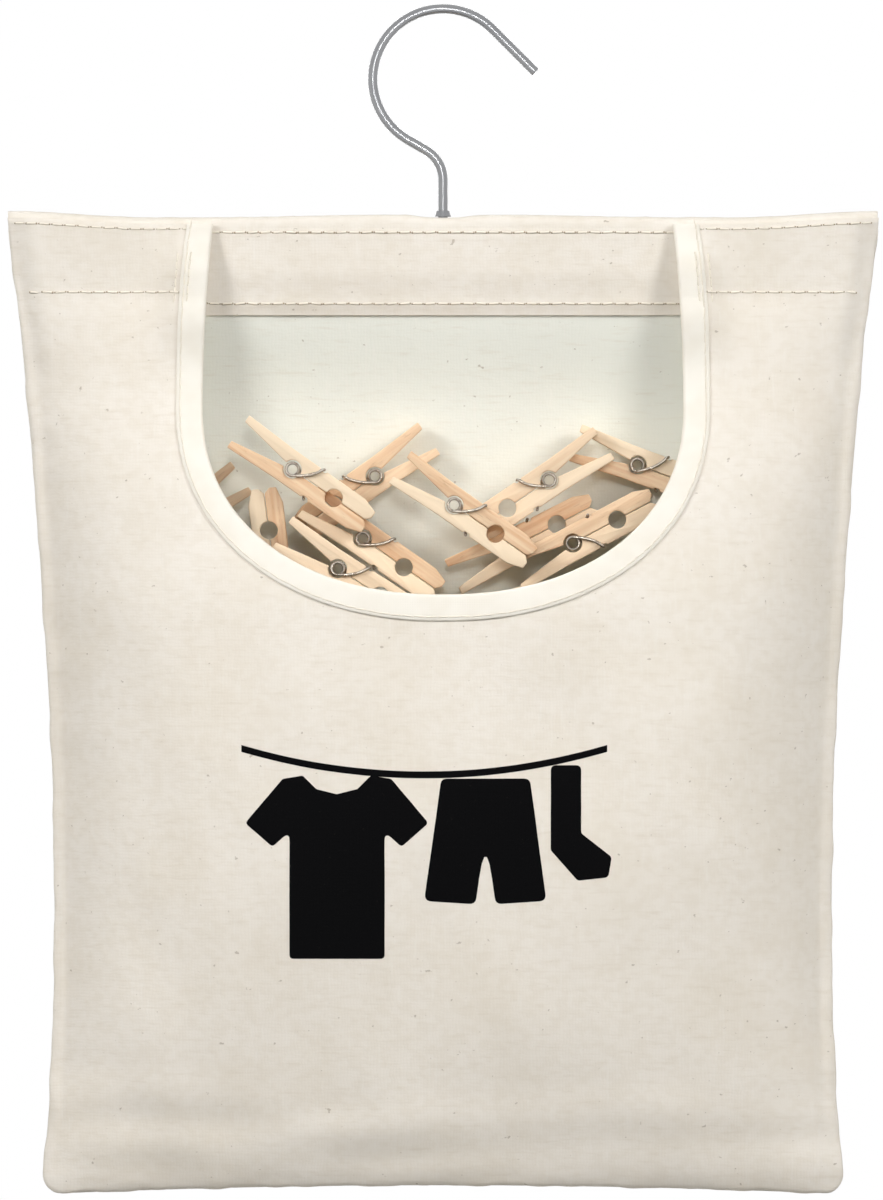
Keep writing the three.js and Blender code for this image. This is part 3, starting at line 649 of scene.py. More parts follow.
def canvas_cloth():
    """Unbleached cotton canvas: off-white and matt, with a plain weave, thicker yarns and dark seed flecks.

    The side inside the bag is painted paler, as painted light for the brighter light inside the mouth, and the
    grooves of the weave are painted a little darker, as painted shade. Real threads are 0.7 mm apart. They are
    drawn at WEAVE_PITCH, as fine as the picture can show."""
    material, tree, shader = new_material("unbleached cotton canvas", Roughness=0.95, Specular_IOR_Level=0.2)
    place = along_frame(tree)
    weave = weave_height(tree, uneven(tree, place, 5, 1.1), WEAVE_PITCH)
    cloudy = speckle(tree, place, 34, (1, 1, 1), 0.35, 0.7)
    mottled = speckle(tree, place, 3.6, (1.3, 1, 1), 0.35, 0.7)
    weft_yarns = speckle(tree, place, 1.5, (7, 5, 1), 0.52, 0.8)
    warp_yarns = speckle(tree, place, 1.5, (1, 5, 7), 0.52, 0.8)
    flecks = speckle(tree, place, 2.1, (1.3, 1, 1), 0.715, 0.77)
    # Painted shade in the low places between the threads of the weave.
    painted_groove_shade = calc(tree, "SUBTRACT", 1, weave)
    # Painted light: the inner side is mixed paler. Painted shade: the weave's grooves are mixed darker.
    paint(tree, shader, mixed(
        tree, 0xF4EDE2, (0xECE3D4, cloudy, 0.5), (0xE3D8C5, mottled, 0.22),
        (0xF1F3E9, attribute(tree, "inner"), 0.9), (0xD6C9B3, weft_yarns, 0.18),
        (0xFAF6EE, warp_yarns, 0.2), (0xB9AB94, painted_groove_shade, 0.025), (0x8A755A, flecks, 0.42),
    ))
    bumped(tree, shader, calc(tree, "ADD", mottled, calc(tree, "MULTIPLY", weave, 0.55)), 0.16, 0.25)
    return material


def cotton_tape():
    """White cotton binding tape: brighter and smoother than the canvas, with fine close ribs."""
    material, tree, shader = new_material("white cotton tape", Roughness=0.9, Specular_IOR_Level=0.2)
    place = along_frame(tree)
    cloudy = speckle(tree, place, 14, (1, 1, 1), 0.35, 0.7)
    paint(tree, shader, mixed(tree, 0xFAF5EA, (0xF3ECDE, cloudy, 0.6)))
    bumped(tree, shader, weave_height(tree, place, 0.9), 0.15, 0.15)
    return material


def sewing_thread():
    """Cream cotton thread, lit on top of each stitch by the lamps, and painted darker towards its ends as the
    shade of the needle hole it dives into.
    """
    material, tree, shader = new_material("cream cotton thread", Roughness=0.8)
    # Painted shade: the ends of each stitch are mixed darker, standing in for the shade in its needle hole.
    from_middle = calc(tree, "ABSOLUTE", attribute(tree, "along"))
    painted_hole_shade = add(tree, "ShaderNodeMapRange", {0: from_middle, 1: 0.34, 2: 0.45})
    paint(tree, shader, mixed(tree, 0xF3EBDC, (0xA8957A, painted_hole_shade, 1)))
    return material


def printing_ink():
    """Black water-based printing ink: a thin matt film that the weave shows through, with pinholes."""
    material, tree, shader = new_material("black printing ink", Roughness=0.8, Specular_IOR_Level=0.1)
    place = along_frame(tree)
    pinholes = speckle(tree, place, 0.9, (1, 1, 1), 0.7, 0.8)
    paint(tree, shader, mixed(tree, 0x020203, (0x57534C, pinholes, 0.1)))
    bumped(tree, shader, weave_height(tree, place, WEAVE_PITCH), 0.3, 0.2)
    return material


def zinc(name, place_of):
    """Zinc-plated steel: bright grey, with faint drawing marks along it."""
    material, tree, shader = new_material(name, Metallic=1.0)
    place = place_of(tree)
    marks = speckle(tree, place, 0.35, (40, 1, 1), 0.3, 0.7)
    cloudy = speckle(tree, place, 6, (3, 1, 1), 0.3, 0.7)
    colour = mixed(tree, 0x939496, (0x9FA0A1, marks, 1), (0x8C8D90, cloudy, 0.5))
    paint(tree, shader, colour, cloudy, 0.27, 0.31)
    return material


def spring_steel():
    """Bright spring wire with a brassy tinge."""
    material, tree, shader = new_material("spring steel wire", Metallic=1.0)
    cloudy = speckle(tree, along_frame(tree), 1.5, (1, 1, 1), 0.3, 0.7)
    paint(tree, shader, mixed(tree, 0xA3998C, (0xB9B1A6, cloudy, 1)), cloudy, 0.25, 0.38)
    return material


def wood(name, place_of, pale, deep, pore, grain_width):
    """Sawn wood: bands of pale and deeper grain along it, with short dark pores. Bands are grain_width wide.

    The attribute tone makes a piece paler."""
    material, tree, shader = new_material(name, Roughness=0.62)
    place = place_of(tree)
    bands = speckle(tree, place, grain_width, (22, 1, 1), 0.3, 0.7)
    pores = speckle(tree, place, 0.5, (9, 1, 1), 0.62, 0.72)
    cloudy = speckle(tree, place, 9, (2, 1, 1), 0.35, 0.7)
    layers = (deep, bands, 1), (pale, cloudy, 0.35), (pore, pores, 0.35), (0xF7E2C4, attribute(tree, "tone"), 1)
    paint(tree, shader, mixed(tree, pale, *layers))
    bumped(tree, shader, bands, 0.12, 0.15)
    return material


CANVAS = canvas_cloth()
TAPE = cotton_tape()
THREAD = sewing_thread()
INK = printing_ink()
ZINC = zinc("zinc-plated wire", along_grain)
ZINC_RING = zinc("zinc-plated ring", along_frame)
STEEL = spring_steel()
BEECH = wood("sawn beech", along_grain, 0xF1D3B0, 0xE3B890, 0xAE7D55, 1.6)
PINE = wood("planed pine", along_frame, 0xD9B78A, 0xC99F6C, 0x98703F, 3)


# Canvas panels

def rolled(from_edge):
    """Thickness of cloth near a turned edge, which rolls round to the seam."""
    share = np.clip(from_edge / EDGE_ROLL, 0, 1)
    return CLOTH * np.maximum(0.04, np.sqrt(1 - (1 - share) ** 2))


def edge_spacing(count_inside, length, first=0.0):
    """Distances from one edge of a cloth to its seam, closer together at the seam."""
    inside = np.linspace(0, 1, count_inside, endpoint=False)
    close = np.array([1, 0.8, 0.62, 0.46, 0.32, 0.2, 0.13, 0.08, 0.04, 0.015, 0]) * EDGE_CLOSE
    length = np.asarray(length, float)[..., None]
    return np.concatenate([first + inside * (length - EDGE_CLOSE - first), length - close], axis=-1)


def back_grid(levels):
    """X and Z of points across the back at each level."""
    half = edge_spacing(54, half_width(levels))
    x = np.concatenate([-half[..., :0:-1], half], axis=-1)
    return x, np.repeat(levels[:, None], x.shape[1], axis=1)


def back_surface(x, z):
    return back_depth(x, z) + back_creases(x, z)


def shifted(row, y, z):
    """A row of points at each of several shifts along Y and Z."""
    return row + np.stack([0 * y, y, z], axis=1)[:, None]


def canvas_back():
    """Up the back, over the slat, and down in front of it as a hem with a turned-under edge."""
    corner = BAG_BOTTOM + CORNER_RADIUS * CORNER_STEPS
    x, level = back_grid(np.concatenate([corner, np.linspace(BAG_BOTTOM + CORNER_RADIUS, FOLD_SPRING, 146)]))
    z = level + arch(x) * arch_left(level)
    rise = np.stack([x, back_surface(x, z), z], axis=-1)

    x = back_grid(np.array([FOLD_SPRING]))[0][0]
    turns = np.radians(np.linspace(0, 180, 19))[1:, None]
    forward = np.sign(np.cos(turns)) * np.abs(np.cos(turns)) ** FOLD_SQUARE
    up = np.sin(turns).clip(0) ** FOLD_SQUARE
    z = lerp(FOLD_SPRING, fold_top(x), up)
    across = np.broadcast_to(x, z.shape)
    puckers = FOLD_PUCKERS * up * np.abs(wander(across / 9, 0 * z, 31.0)) * smoothstep(np.abs(across), 4, 9)
    fold = np.stack([across, forward * sleeve_half(across, FOLD_SPRING), z + puckers], axis=-1)

    steps = ((FOLD_SPRING, FLAP_TURN, 11), (FLAP_TURN, FLAP_SEWN, 9), (FLAP_SEWN, FLAP_EDGE, 5))
    x, z = back_grid(np.concatenate([np.linspace(*step)[1:] for step in steps]))
    flap = np.stack([x, hem_depth(x, z), z], axis=-1)

    turns = np.radians(np.linspace(0, 180, 9))[1:]
    round_edge = shifted(flap[-1], FOLD_ROUND * (1 - np.cos(turns)), -FOLD_ROUND * np.sin(turns))
    under_rise = np.linspace(0, TURNED_UNDER, 5)[1:]
    under = shifted(round_edge[-1], 0 * under_rise, under_rise)

    inner = np.concatenate([rise, fold, flap, round_edge, under])
    wave_x, wave_z = seam_wave(inner[..., 0], inner[..., 2])
    inner = inner + np.stack([wave_x, 0 * wave_x, wave_z], axis=-1)
    x, z = inner[..., 0], inner[..., 2]
    row = np.arange(len(inner))[:, None]
    to_bottom = np.where(row < len(rise), from_bottom(x, z), np.inf)
    thickness = rolled(np.minimum(from_side(x, z), to_bottom))
    thickness[len(rise) + len(fold):] = CLOTH
    pressed = smoothstep(row, len(inner) - 17, len(inner) - 13)
    thickness = np.where(pressed > 0, CLOTH * lerp(1, PRESSED, pressed), thickness)
    return cloth_sheet("canvas_back", inner, thickness, 1, CANVAS)


def mouth_stations():
    """Points down one side of the mouth, round its foot and up the other side, with the way into the cloth."""
    strap = np.linspace(STRAP_TOP, MOUTH_CENTRE, STRAP_STATIONS + 1)[:-1]
    left = np.stack([-mouth_half(strap), strap], axis=1)
    turn = np.linspace(math.pi, 2 * math.pi, 401)
    side = np.sign(np.round(np.cos(turn), 6))
    cos, sin = np.abs(np.cos(turn)), np.abs(np.sin(turn))
    foot = np.stack([
        MOUTH_HALF * side * cos ** (2 / MOUTH_POWER),
        MOUTH_CENTRE - MOUTH_DROP * sin ** (2 / MOUTH_POWER),
    ], axis=1)
    power = 2 - 2 / MOUTH_POWER
    into = np.stack([side * cos**power / MOUTH_HALF, -(sin**power) / MOUTH_DROP], axis=1)
    into /= np.linalg.norm(into, axis=1, keepdims=True)
    right = left[::-1] * (-1, 1)
    edge = np.concatenate([left, foot, right])
    ways = np.concatenate([np.tile((-1, 0), (len(left), 1)), into, np.tile((1, 0), (len(right), 1))])
    return edge, ways


def seam_stations(edge):
    """The seam outline that faces each mouth station: side, corner, bottom edge, corner, side."""
    strap = edge[:STRAP_STATIONS, 1]
    side = np.linspace(MOUTH_CENTRE, BAG_BOTTOM + CORNER_RADIUS, 125)
    down = np.concatenate([strap, side, BAG_BOTTOM + CORNER_RADIUS * CORNER_STEPS[::-1]])
    x = -half_width(down)
    left = np.stack([x, down + np.where(down < BAG_BOTTOM + CORNER_RADIUS, arch(x), 0)], axis=1)
    across = np.linspace(left[-1, 0], -left[-1, 0], len(edge) - 2 * len(left) + 2)[1:-1]
    bottom = np.stack([across, BAG_BOTTOM + arch(across)], axis=1)
    return np.concatenate([left, bottom, left[::-1] * (-1, 1)])


def front_surface(x, z):
    """Points of the front's inner face."""
    wave_x, wave_z = seam_wave(x, z)
    lift = corner_lift(x) * smoothstep(z, STRAP_TOP - 25, STRAP_TOP)
    return np.stack([x + wave_x, -front_depth(x, z) - front_creases(x, z), z + wave_z + lift], axis=-1)


def canvas_front(edge):
    """Two straps over the hem and the pouch front, cut out round the mouth."""
    seam = seam_stations(edge)
    length = np.linalg.norm(seam - edge, axis=1)
    ways = edge_spacing(62, length)
    share = (ways / length[:, None])[..., None]
    flat = lerp(edge[:, None], seam[:, None], share)
    inner = front_surface(flat[..., 0], flat[..., 1])
    thickness = rolled(length[:, None] - ways)
    return cloth_sheet("canvas_front", inner, thickness, -1, CANVAS)


def on_front(x, z, lift):
    """Points on the front cloth, lifted from the middle of its thickness along its outward direction."""
    step = 0.5
    here = front_surface(x, z)
    along_x = front_surface(x + step, z) - here
    along_z = front_surface(x, z + step) - here
    outward = np.cross(along_x, along_z)
    outward /= np.linalg.norm(outward, axis=-1, keepdims=True)
    return here + outward * (CLOTH / 2 + np.asarray(lift))[..., None], outward


def tape_section():
    """The tape's folded section: distance into the cloth, and lift from the middle of the cloth."""
    near = CLOTH / 2 + TAPE_REST
    far = near + TAPE_THICK
    outer_turn = np.radians(np.linspace(90, 270, 13))
    inner_turn = outer_turn[::-1]
    flat = np.array([1, 0.94, 0.7, 0.45, 0.2])
    soft = np.array([0.45, 0.1, 0, 0, 0]) * TAPE_THICK
    front = np.stack([flat * TAPE_WIDTH, far - soft], axis=1)
    nose = np.stack([far * np.cos(outer_turn), far * np.sin(outer_turn)], axis=1) + (0.4, 0)
    back = front[::-1] * (1, -1)
    inside_back = np.stack([flat * TAPE_WIDTH, np.full(5, -near)], axis=1)
    inside_nose = np.stack([near * np.cos(inner_turn), near * np.sin(inner_turn)], axis=1) + (0.4, 0)
    inside_front = inside_back[::-1] * (1, -1)
    return np.concatenate([front, nose, back, inside_back, inside_nose, inside_front])


def mouth_tape(edge, ways):
    """Tape folded over the mouth's edge."""
    section = tape_section()
    inward, lift = section[None, :, 0], section[None, :, 1]
    x = edge[:, :1] + ways[:, :1] * inward
    z = edge[:, 1:] + ways[:, 1:] * inward
    puckers = TAPE_PUCKERS * wander(way_along(edge)[:, None] / 5, inward / 5, 41.0) * smoothstep(inward, 1, 5)
    rings, _ = on_front(x, z, lift + np.where(lift > 0, puckers, 0))
    return solid_piece("mouth_tape", *closed_sweep(rings), TAPE)


# Stitches

def stitch_tree():
    """Thread lying in stitches along a line, with its outward direction in the attribute outward."""
    tree = bpy.data.node_groups.new("stitch_row", "GeometryNodeTree")
    sizes = [(name, "Float") for name in ("Pitch", "Thread radius", "Rise", "Dip")]
    for name, kind in (("Geometry", "Geometry"), *sizes, ("Thread", "Material")):
        tree.interface.new_socket(name, in_out="INPUT", socket_type="NodeSocket" + kind)
    tree.interface.new_socket("Geometry", in_out="OUTPUT", socket_type="NodeSocketGeometry")
    given = add(tree, "NodeGroupInput").outputs
    pitch, radius = given["Pitch"], given["Thread radius"]

    line = add(tree, "GeometryNodeMeshToCurve", {0: given["Geometry"]})
    spaced = add(tree, "GeometryNodeResampleCurve", {0: line, "Length": pitch}, mode="LENGTH")
    points = add(tree, "GeometryNodeCurveToPoints", {0: spaced}, mode="EVALUATED")
    align = "FunctionNodeAlignRotationToVector"
    run = add(tree, align, {"Vector": points.outputs["Tangent"]}, axis="X")
    outward = add(tree, "GeometryNodeInputNamedAttribute", {"Name": "outward"}, data_type="FLOAT_VECTOR")
    facing = add(tree, align, {"Rotation": run, "Vector": outward}, axis="Z", pivot_axis="X")
    most = {0: (0, 0, -STITCH_SWAY), 1: (0, 0, STITCH_SWAY), "Seed": 4}
    sway = add(tree, "FunctionNodeRandomValue", most, data_type="FLOAT_VECTOR")
    turned = add(tree, "FunctionNodeRotateRotation", {0: facing, 1: sway}, rotation_space="LOCAL")

    half = calc(tree, "MULTIPLY", pitch, 0.47)
    sunk = calc(tree, "MULTIPLY", radius, -0.6)
    start = add(tree, "ShaderNodeCombineXYZ", {0: calc(tree, "MULTIPLY", half, -1.0), 2: sunk})
    top = add(tree, "ShaderNodeCombineXYZ", {2: given["Rise"]})
    end = add(tree, "ShaderNodeCombineXYZ", {0: half, 2: sunk})
    ends = {"Resolution": 8, "Start": start, "Middle": top, "End": end}
    bow = add(tree, "GeometryNodeCurveQuadraticBezier", ends)
    # along runs over each stitch, scaled by the hole shade, and tells the thread's material where to paint the
    # needle hole's shade.
    along = calc(tree, "ADD", add(tree, "GeometryNodeSplineParameter").outputs["Factor"], -0.5)
    hole_shade_reach = calc(tree, "MULTIPLY", along, given["Dip"])
    named = {0: bow, "Name": "along", "Value": hole_shade_reach}
    marked = add(tree, "GeometryNodeStoreNamedAttribute", named, data_type="FLOAT", domain="POINT")
    thread = add(tree, "GeometryNodeCurvePrimitiveCircle", {"Resolution": 6, "Radius": radius})
    stitch = add(tree, "GeometryNodeCurveToMesh", {0: marked, 1: thread, "Fill Caps": True})
    row = add(tree, "GeometryNodeInstanceOnPoints", {0: points, "Instance": stitch, "Rotation": turned})
    real = add(tree, "GeometryNodeRealizeInstances", {0: row})
    sewn = add(tree, "GeometryNodeSetMaterial", {0: real, "Material": given["Thread"]})
    add(tree, "NodeGroupOutput", {0: sewn})
    return tree


STITCHES = stitch_tree()


def sew(name, rows, pitch=STITCH_PITCH, radius=THREAD_RADIUS, hole_shade=1.0):
    """Stitches along rows of points in millimetres, each row with its outward directions.

    The last number sets how much of the painted shade of a needle hole shows at the ends of each stitch."""
    points = np.concatenate([row for row, _ in rows])
    edges, start = [], 0
    for row, _ in rows:
        edges += [(start + k, start + k + 1) for k in range(len(row) - 1)]
        start += len(row)
    mesh = bpy.data.meshes.new(name + "_line")
    mesh.from_pydata((points * MM).tolist(), edges, [])
    mark(mesh, "outward", np.concatenate([out for _, out in rows]))
    line = placed(name + "_line", mesh)
    modifier = line.modifiers.new("stitches", "NODES")
    modifier.node_group = STITCHES
    sizes = {"Pitch": pitch * MM, "Thread radius": radius * MM, "Rise": 1.5 * radius * MM, "Dip": hole_shade}
    given = {**sizes, "Thread": THREAD}
    for item in STITCHES.interface.items_tree:
        if item.in_out == "INPUT" and item.name in given:
            modifier[item.identifier] = given[item.name]
    sewn = evaluated_mesh(line)
    sewn.name = name
    sewn.polygons.foreach_set("use_smooth", [True] * len(sewn.polygons))
    return placed(name, sewn)


def strap_row(x_from, x_to, z):
    x = np.linspace(x_from, x_to, 40)
    return on_front(x, np.full(40, z), np.full(40, CLOTH / 2))


def level_row(x, z, surface, way):
    """A row of points at one height on a panel, on its front where way is -1 and behind it where way is 1."""
    level = np.full(len(x), z)
    points = np.stack([x, surface(x, level) + way * CLOTH, level], axis=-1)
    return points, np.tile((0.0, way, 0.0), (len(x), 1))


def canvas_stitches():
    """Rows along the hem and the straps, and the hem's row as it shows behind."""
    sewn = FLAP_SEWN - 0.3
    across = np.linspace(-HEM_ROW_HALF, HEM_ROW_HALF, 120)
    rows = [level_row(across, z, hem_depth, -1) for z in (FOLD_SPRING - 0.4, sewn)]
    strap_edge = MOUTH_TOP_HALF + TAPE_WIDTH
    for side in (-1, 1):
        rows.append(strap_row(side * STRAP_ROW_TOP, side * strap_edge, STRAP_TOP - 2))
        rows.append(strap_row(side * STRAP_ROW_FOOT, side * strap_edge, FLAP_SEWN + 4))
    behind = np.linspace(-0.96, 0.96, 160) * outline_half_width(sewn)
    rows.append(level_row(behind, sewn, back_surface, 1))
    return sew("canvas_stitches", rows)


def tape_stitches(edge, ways):
    """One row along the tape's outer edge, and two short upright rows over it that tack it to each strap."""
    inward = TAPE_WIDTH - 1.5
    lift = CLOTH / 2 + TAPE_REST + TAPE_THICK
    row = on_front(edge[:, 0] + ways[:, 0] * inward, edge[:, 1] + ways[:, 1] * inward, np.full(len(edge), lift))
    tacks = []
    z = np.linspace(FLAP_SEWN + 17, FLAP_SEWN + 1, 17)
    for side in (-1, 1):
        for from_edge, height in ((TAPE_WIDTH - 3, lift), (TAPE_WIDTH + 2, CLOTH / 2)):
            tacks.append(on_front(side * (mouth_half(z) + from_edge), z, np.full(17, height)))
    main = sew("tape_stitches", [row], *TAPE_STITCH)
    tack = sew("back_tacks", tacks, *TACK_STITCH)
    return main, tack


# Print

def rounded(corners, radius, steps=6):
    """A closed outline with its corners rounded by arcs."""
    corners = [Vector(c) for c in corners]
    outline = []
    for k, corner in enumerate(corners):
        before = (corners[k - 1] - corner).normalized()
        after = (corners[(k + 1) % len(corners)] - corner).normalized()
        half = before.angle(after) / 2
        reach = radius / math.tan(half)
        a, b = corner + before * reach, corner + after * reach
        for t in np.linspace(0, 1, steps):
            outline.append(tuple(a * (1 - t) ** 2 + corner * 2 * t * (1 - t) + b * t**2))
    return outline


PRINT_MIDDLE = (-7, -326)
LINE_HALF = 69
LINE_SAG = 10
LINE_HEIGHT = 48
LINE_THICK = 2.6
GARMENT_SCALE = 1.28
INK_PROUD = 0.06
INK_SUNK = 0.15


def line_height(x):
    """The printed washing line, which sags between its ends."""
    return LINE_HEIGHT - LINE_SAG * (1 - (x / LINE_HALF) ** 2)


def washing_line():
    x = np.linspace(-LINE_HALF, LINE_HALF, 60)
    top = np.stack([x, line_height(x) + LINE_THICK / 2], axis=1)
    return [tuple(p) for p in np.concatenate([top, top[::-1] - (0, LINE_THICK)])]


def garment(corners, x, radius=2.5):
    """A garment's outline, hung on the line at x, with corners measured from the line."""
    drop = line_height(x) - LINE_THICK / 2 - 1.2
    return rounded([(x + GARMENT_SCALE * u, drop + GARMENT_SCALE * w) for u, w in corners], radius)


SHIRT = [
    (-10, 0), (-6, -4), (0, -5.5), (6, -4), (10, 0), (16, -1), (27, -14), (19, -21), (14, -16.5),
    (14, -54), (-14, -54), (-14, -16.5), (-19, -21), (-27, -14), (-16, -1),
]
SHORTS = [(-13, 0), (13, 0), (18, -36), (3, -37), (0, -16), (-3, -37), (-18, -36)]
SOCK = [(-5, 0), (4, 0), (4, -20), (13, -27), (12, -33), (3, -34), (-5, -25)]


def printed_motif():
    """Ink film on the front canvas: a line with a shirt, shorts and a sock."""
    outlines = [washing_line(), garment(SHIRT, -33, 1.6), garment(SHORTS, 23), garment(SOCK, 54, 2)]
    points, faces = [], []
    for outline in outlines:
        flat_points, flat_faces = filled([(PRINT_MIDDLE[0] + x, PRINT_MIDDLE[1] + z) for x, z in outline])
        faces += [[len(points) + v for v in face] for face in flat_faces]
        points += flat_points
    count = len(points)
    x, z = np.array(points).T
    top, _ = on_front(x, z, np.full(count, CLOTH / 2 + INK_PROUD))
    under, _ = on_front(x, z, np.full(count, CLOTH / 2 - INK_SUNK))
    closed = faces + [[v + count for v in reversed(face)] for face in faces]
    closed += [[b, a, a + count, b + count] for a, b in rim_edges(faces)]
    piece = solid_piece("printed_motif", np.concatenate([top, under]), closed, INK)
    piece.data.polygons.foreach_set("use_smooth", [False] * len(piece.data.polygons))
    return piece


def filled(outline, spacing=2.5):
    """Points and triangles inside an outline, fine enough to follow the cloth."""
    loop = []
    for k, (x, z) in enumerate(outline):
        next_x, next_z = outline[(k + 1) % len(outline)]
        count = max(1, math.ceil(math.hypot(next_x - x, next_z - z) / spacing))
        loop += [Vector((lerp(x, next_x, s / count), lerp(z, next_z, s / count))) for s in range(count)]
    low_x, low_z = np.min(outline, axis=0)
    high_x, high_z = np.max(outline, axis=0)
    across, down = np.arange(low_x, high_x, spacing), np.arange(low_z, high_z, spacing)
    inside = [Vector((x, z)) for x in across for z in down]
    found = geometry.delaunay_2d_cdt(loop + inside, [], [list(range(len(loop)))], 1, 1e-4)
    return [tuple(v) for v in found[0]], [list(f) for f in found[2]]


def rim_edges(faces):
    """The edges that only one face has, in that face's order."""
    seen = {}
    for face in faces:
        for a, b in zip(face, face[1:] + face[:1]):
            seen[(a, b)] = True
    return [(a, b) for a, b in seen if (b, a) not in seen]


# Wire hook and ferrule

def arc(centre, radius, start, end, steps):
    turn = np.radians(np.linspace(start, end, steps))
    return np.stack([centre[0] + radius * np.cos(turn), 0 * turn, centre[1] + radius * np.sin(turn)], axis=1)


def wire_hook():
    """One bent wire: cut tip, crown, neck, bend and shank, with the upset head inside the slat."""
    crown = arc((0, WIRE_RADIUS - HOOK_RADIUS), HOOK_RADIUS, TIP_ANGLE, NECK_ANGLE, 120)
    tip_turn = math.radians(TIP_ANGLE - 90)
    tip_way = np.array([math.cos(tip_turn), 0, math.sin(tip_turn)])
    shares = np.concatenate([[1, 0.995, 0.985, 0.965], np.linspace(0.9, 0.1, 9)])
    tip = crown[0] + tip_way * (TIP_LENGTH * shares)[:, None]
    bend = arc((-NECK_BEND, SHANK_TOP), NECK_BEND, NECK_ANGLE - 180, 0, 40)
    down = np.concatenate([np.linspace(SHANK_TOP - 2, HEAD_TOP, 12), [HEAD_TOP - 0.7, HEAD_TOP - 2]])
    shank = np.stack([0 * down, 0 * down, down], axis=1)
    path = np.concatenate([tip, crown, bend, shank])
    radii = np.full(len(path), WIRE_RADIUS)
    radii[:4] = WIRE_RADIUS * np.array([0.8, 0.93, 0.99, 1])
    radii[-2:] = HEAD_RADIUS * np.array([1, 0.9])
    piece = solid_piece("wire_hook", *tube(path, radii, WIRE_SIDES), ZINC)
    turn = np.tile(2 * math.pi * np.arange(WIRE_SIDES) / WIRE_SIDES, len(path))
    along = np.repeat(way_along(path), WIRE_SIDES)
    grain = np.stack([along, WIRE_RADIUS * np.cos(turn), WIRE_RADIUS * np.sin(turn)], axis=1)
    mark(piece.data, "grain", grain * MM)
    return piece


def ferrule():
    """The flared ring that the shank turns in, with a rounded top and foot."""
    low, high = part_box("hook_collar")
    foot, bottom, top = high.x / MM, low.z / MM, high.z / MM
    bore = WIRE_RADIUS + GAP
    neck = bore + 0.4
    section = [
        (bore, bottom), (foot - 0.15, bottom), (foot, bottom + 0.15), (foot - 0.1, bottom + 0.4),
        (lerp(foot, neck, 0.55), lerp(bottom, top, 0.4)), (lerp(foot, neck, 0.85), lerp(bottom, top, 0.7)),
        (neck, top - 0.25), (neck - 0.12, top - 0.04), (bore, top),
    ]
    turn = np.linspace(0, 2 * math.pi, 65)[:-1]
    rings = np.array([[(r * math.cos(t), r * math.sin(t), z) for r, z in section] for t in turn])
    at = round_again(numbered(*rings.shape[:2]))
    return solid_piece("ferrule", rings.reshape(-1, 3), quads(np.concatenate([at, at[:1]])), ZINC_RING)


# Pegs

def leg_outline():
    """One leg on the +w side: line notch, coil seat, tapered tail and the groove for the spring's arm."""
    notch_turn = math.asin(FACE_GAP / NOTCH_RADIUS)
    seat_turn = math.asin(FACE_GAP / COIL_SEAT)
    groove_floor = LEG_THICK - ARM_GROOVE
    groove_half = SPRING_WIRE + 0.4
    groove_top = groove_half + GAP
    notch = np.linspace(notch_turn, math.pi - notch_turn, 17)
    seat = np.linspace(seat_turn, math.pi - seat_turn - 0.2, 17)
    return [
        (JAW_LENGTH, JAW_INNER_BEVEL + FACE_GAP),
        (JAW_LENGTH - JAW_INNER_BEVEL, FACE_GAP),
        *[(NOTCH_U + NOTCH_RADIUS * math.cos(t), NOTCH_RADIUS * math.sin(t)) for t in notch],
        *[(COIL_SEAT * math.cos(t), COIL_SEAT * math.sin(t)) for t in seat],
        (-TAIL_LENGTH, TAIL_SPREAD),
        (-TAIL_LENGTH, TAIL_SPREAD + TAIL_THICK),
        (-COIL_SEAT, LEG_THICK),
        (ARM_U - groove_top, LEG_THICK),
        (ARM_U - groove_half, groove_floor),
        (ARM_U + groove_half, groove_floor),
        (ARM_U + groove_top, LEG_THICK),
        (JAW_LENGTH - JAW_OUTER_BEVEL, LEG_THICK),
        (JAW_LENGTH, JAW_INNER_BEVEL + FACE_GAP + JAW_TIP),
    ]


def leg_form(side):
    """Points in u, y and w, and faces, of a leg with softened edges."""
    outline = leg_outline()
    count = len(outline)
    points = [(u, y, side * w) for y in (-LEG_WIDTH / 2, LEG_WIDTH / 2) for u, w in outline]
    faces = [list(range(count)), list(range(2 * count - 1, count - 1, -1))]
    faces += [[k, k + count, (k + 1) % count + count, (k + 1) % count] for k in range(count)]
    piece = solid_piece("leg_form", np.array(points) / MM, faces, BEECH)
    bevel = piece.modifiers.new("softened edges", "BEVEL")
    bevel.width = LEG_BEVEL
    bevel.segments = 2
    bevel.limit_method = "ANGLE"
    bevel.angle_limit = math.radians(35)
    mesh = evaluated_mesh(piece)
    form = np.array([v.co for v in mesh.vertices]), [list(p.vertices) for p in mesh.polygons]
    bpy.data.meshes.remove(mesh)
    return form


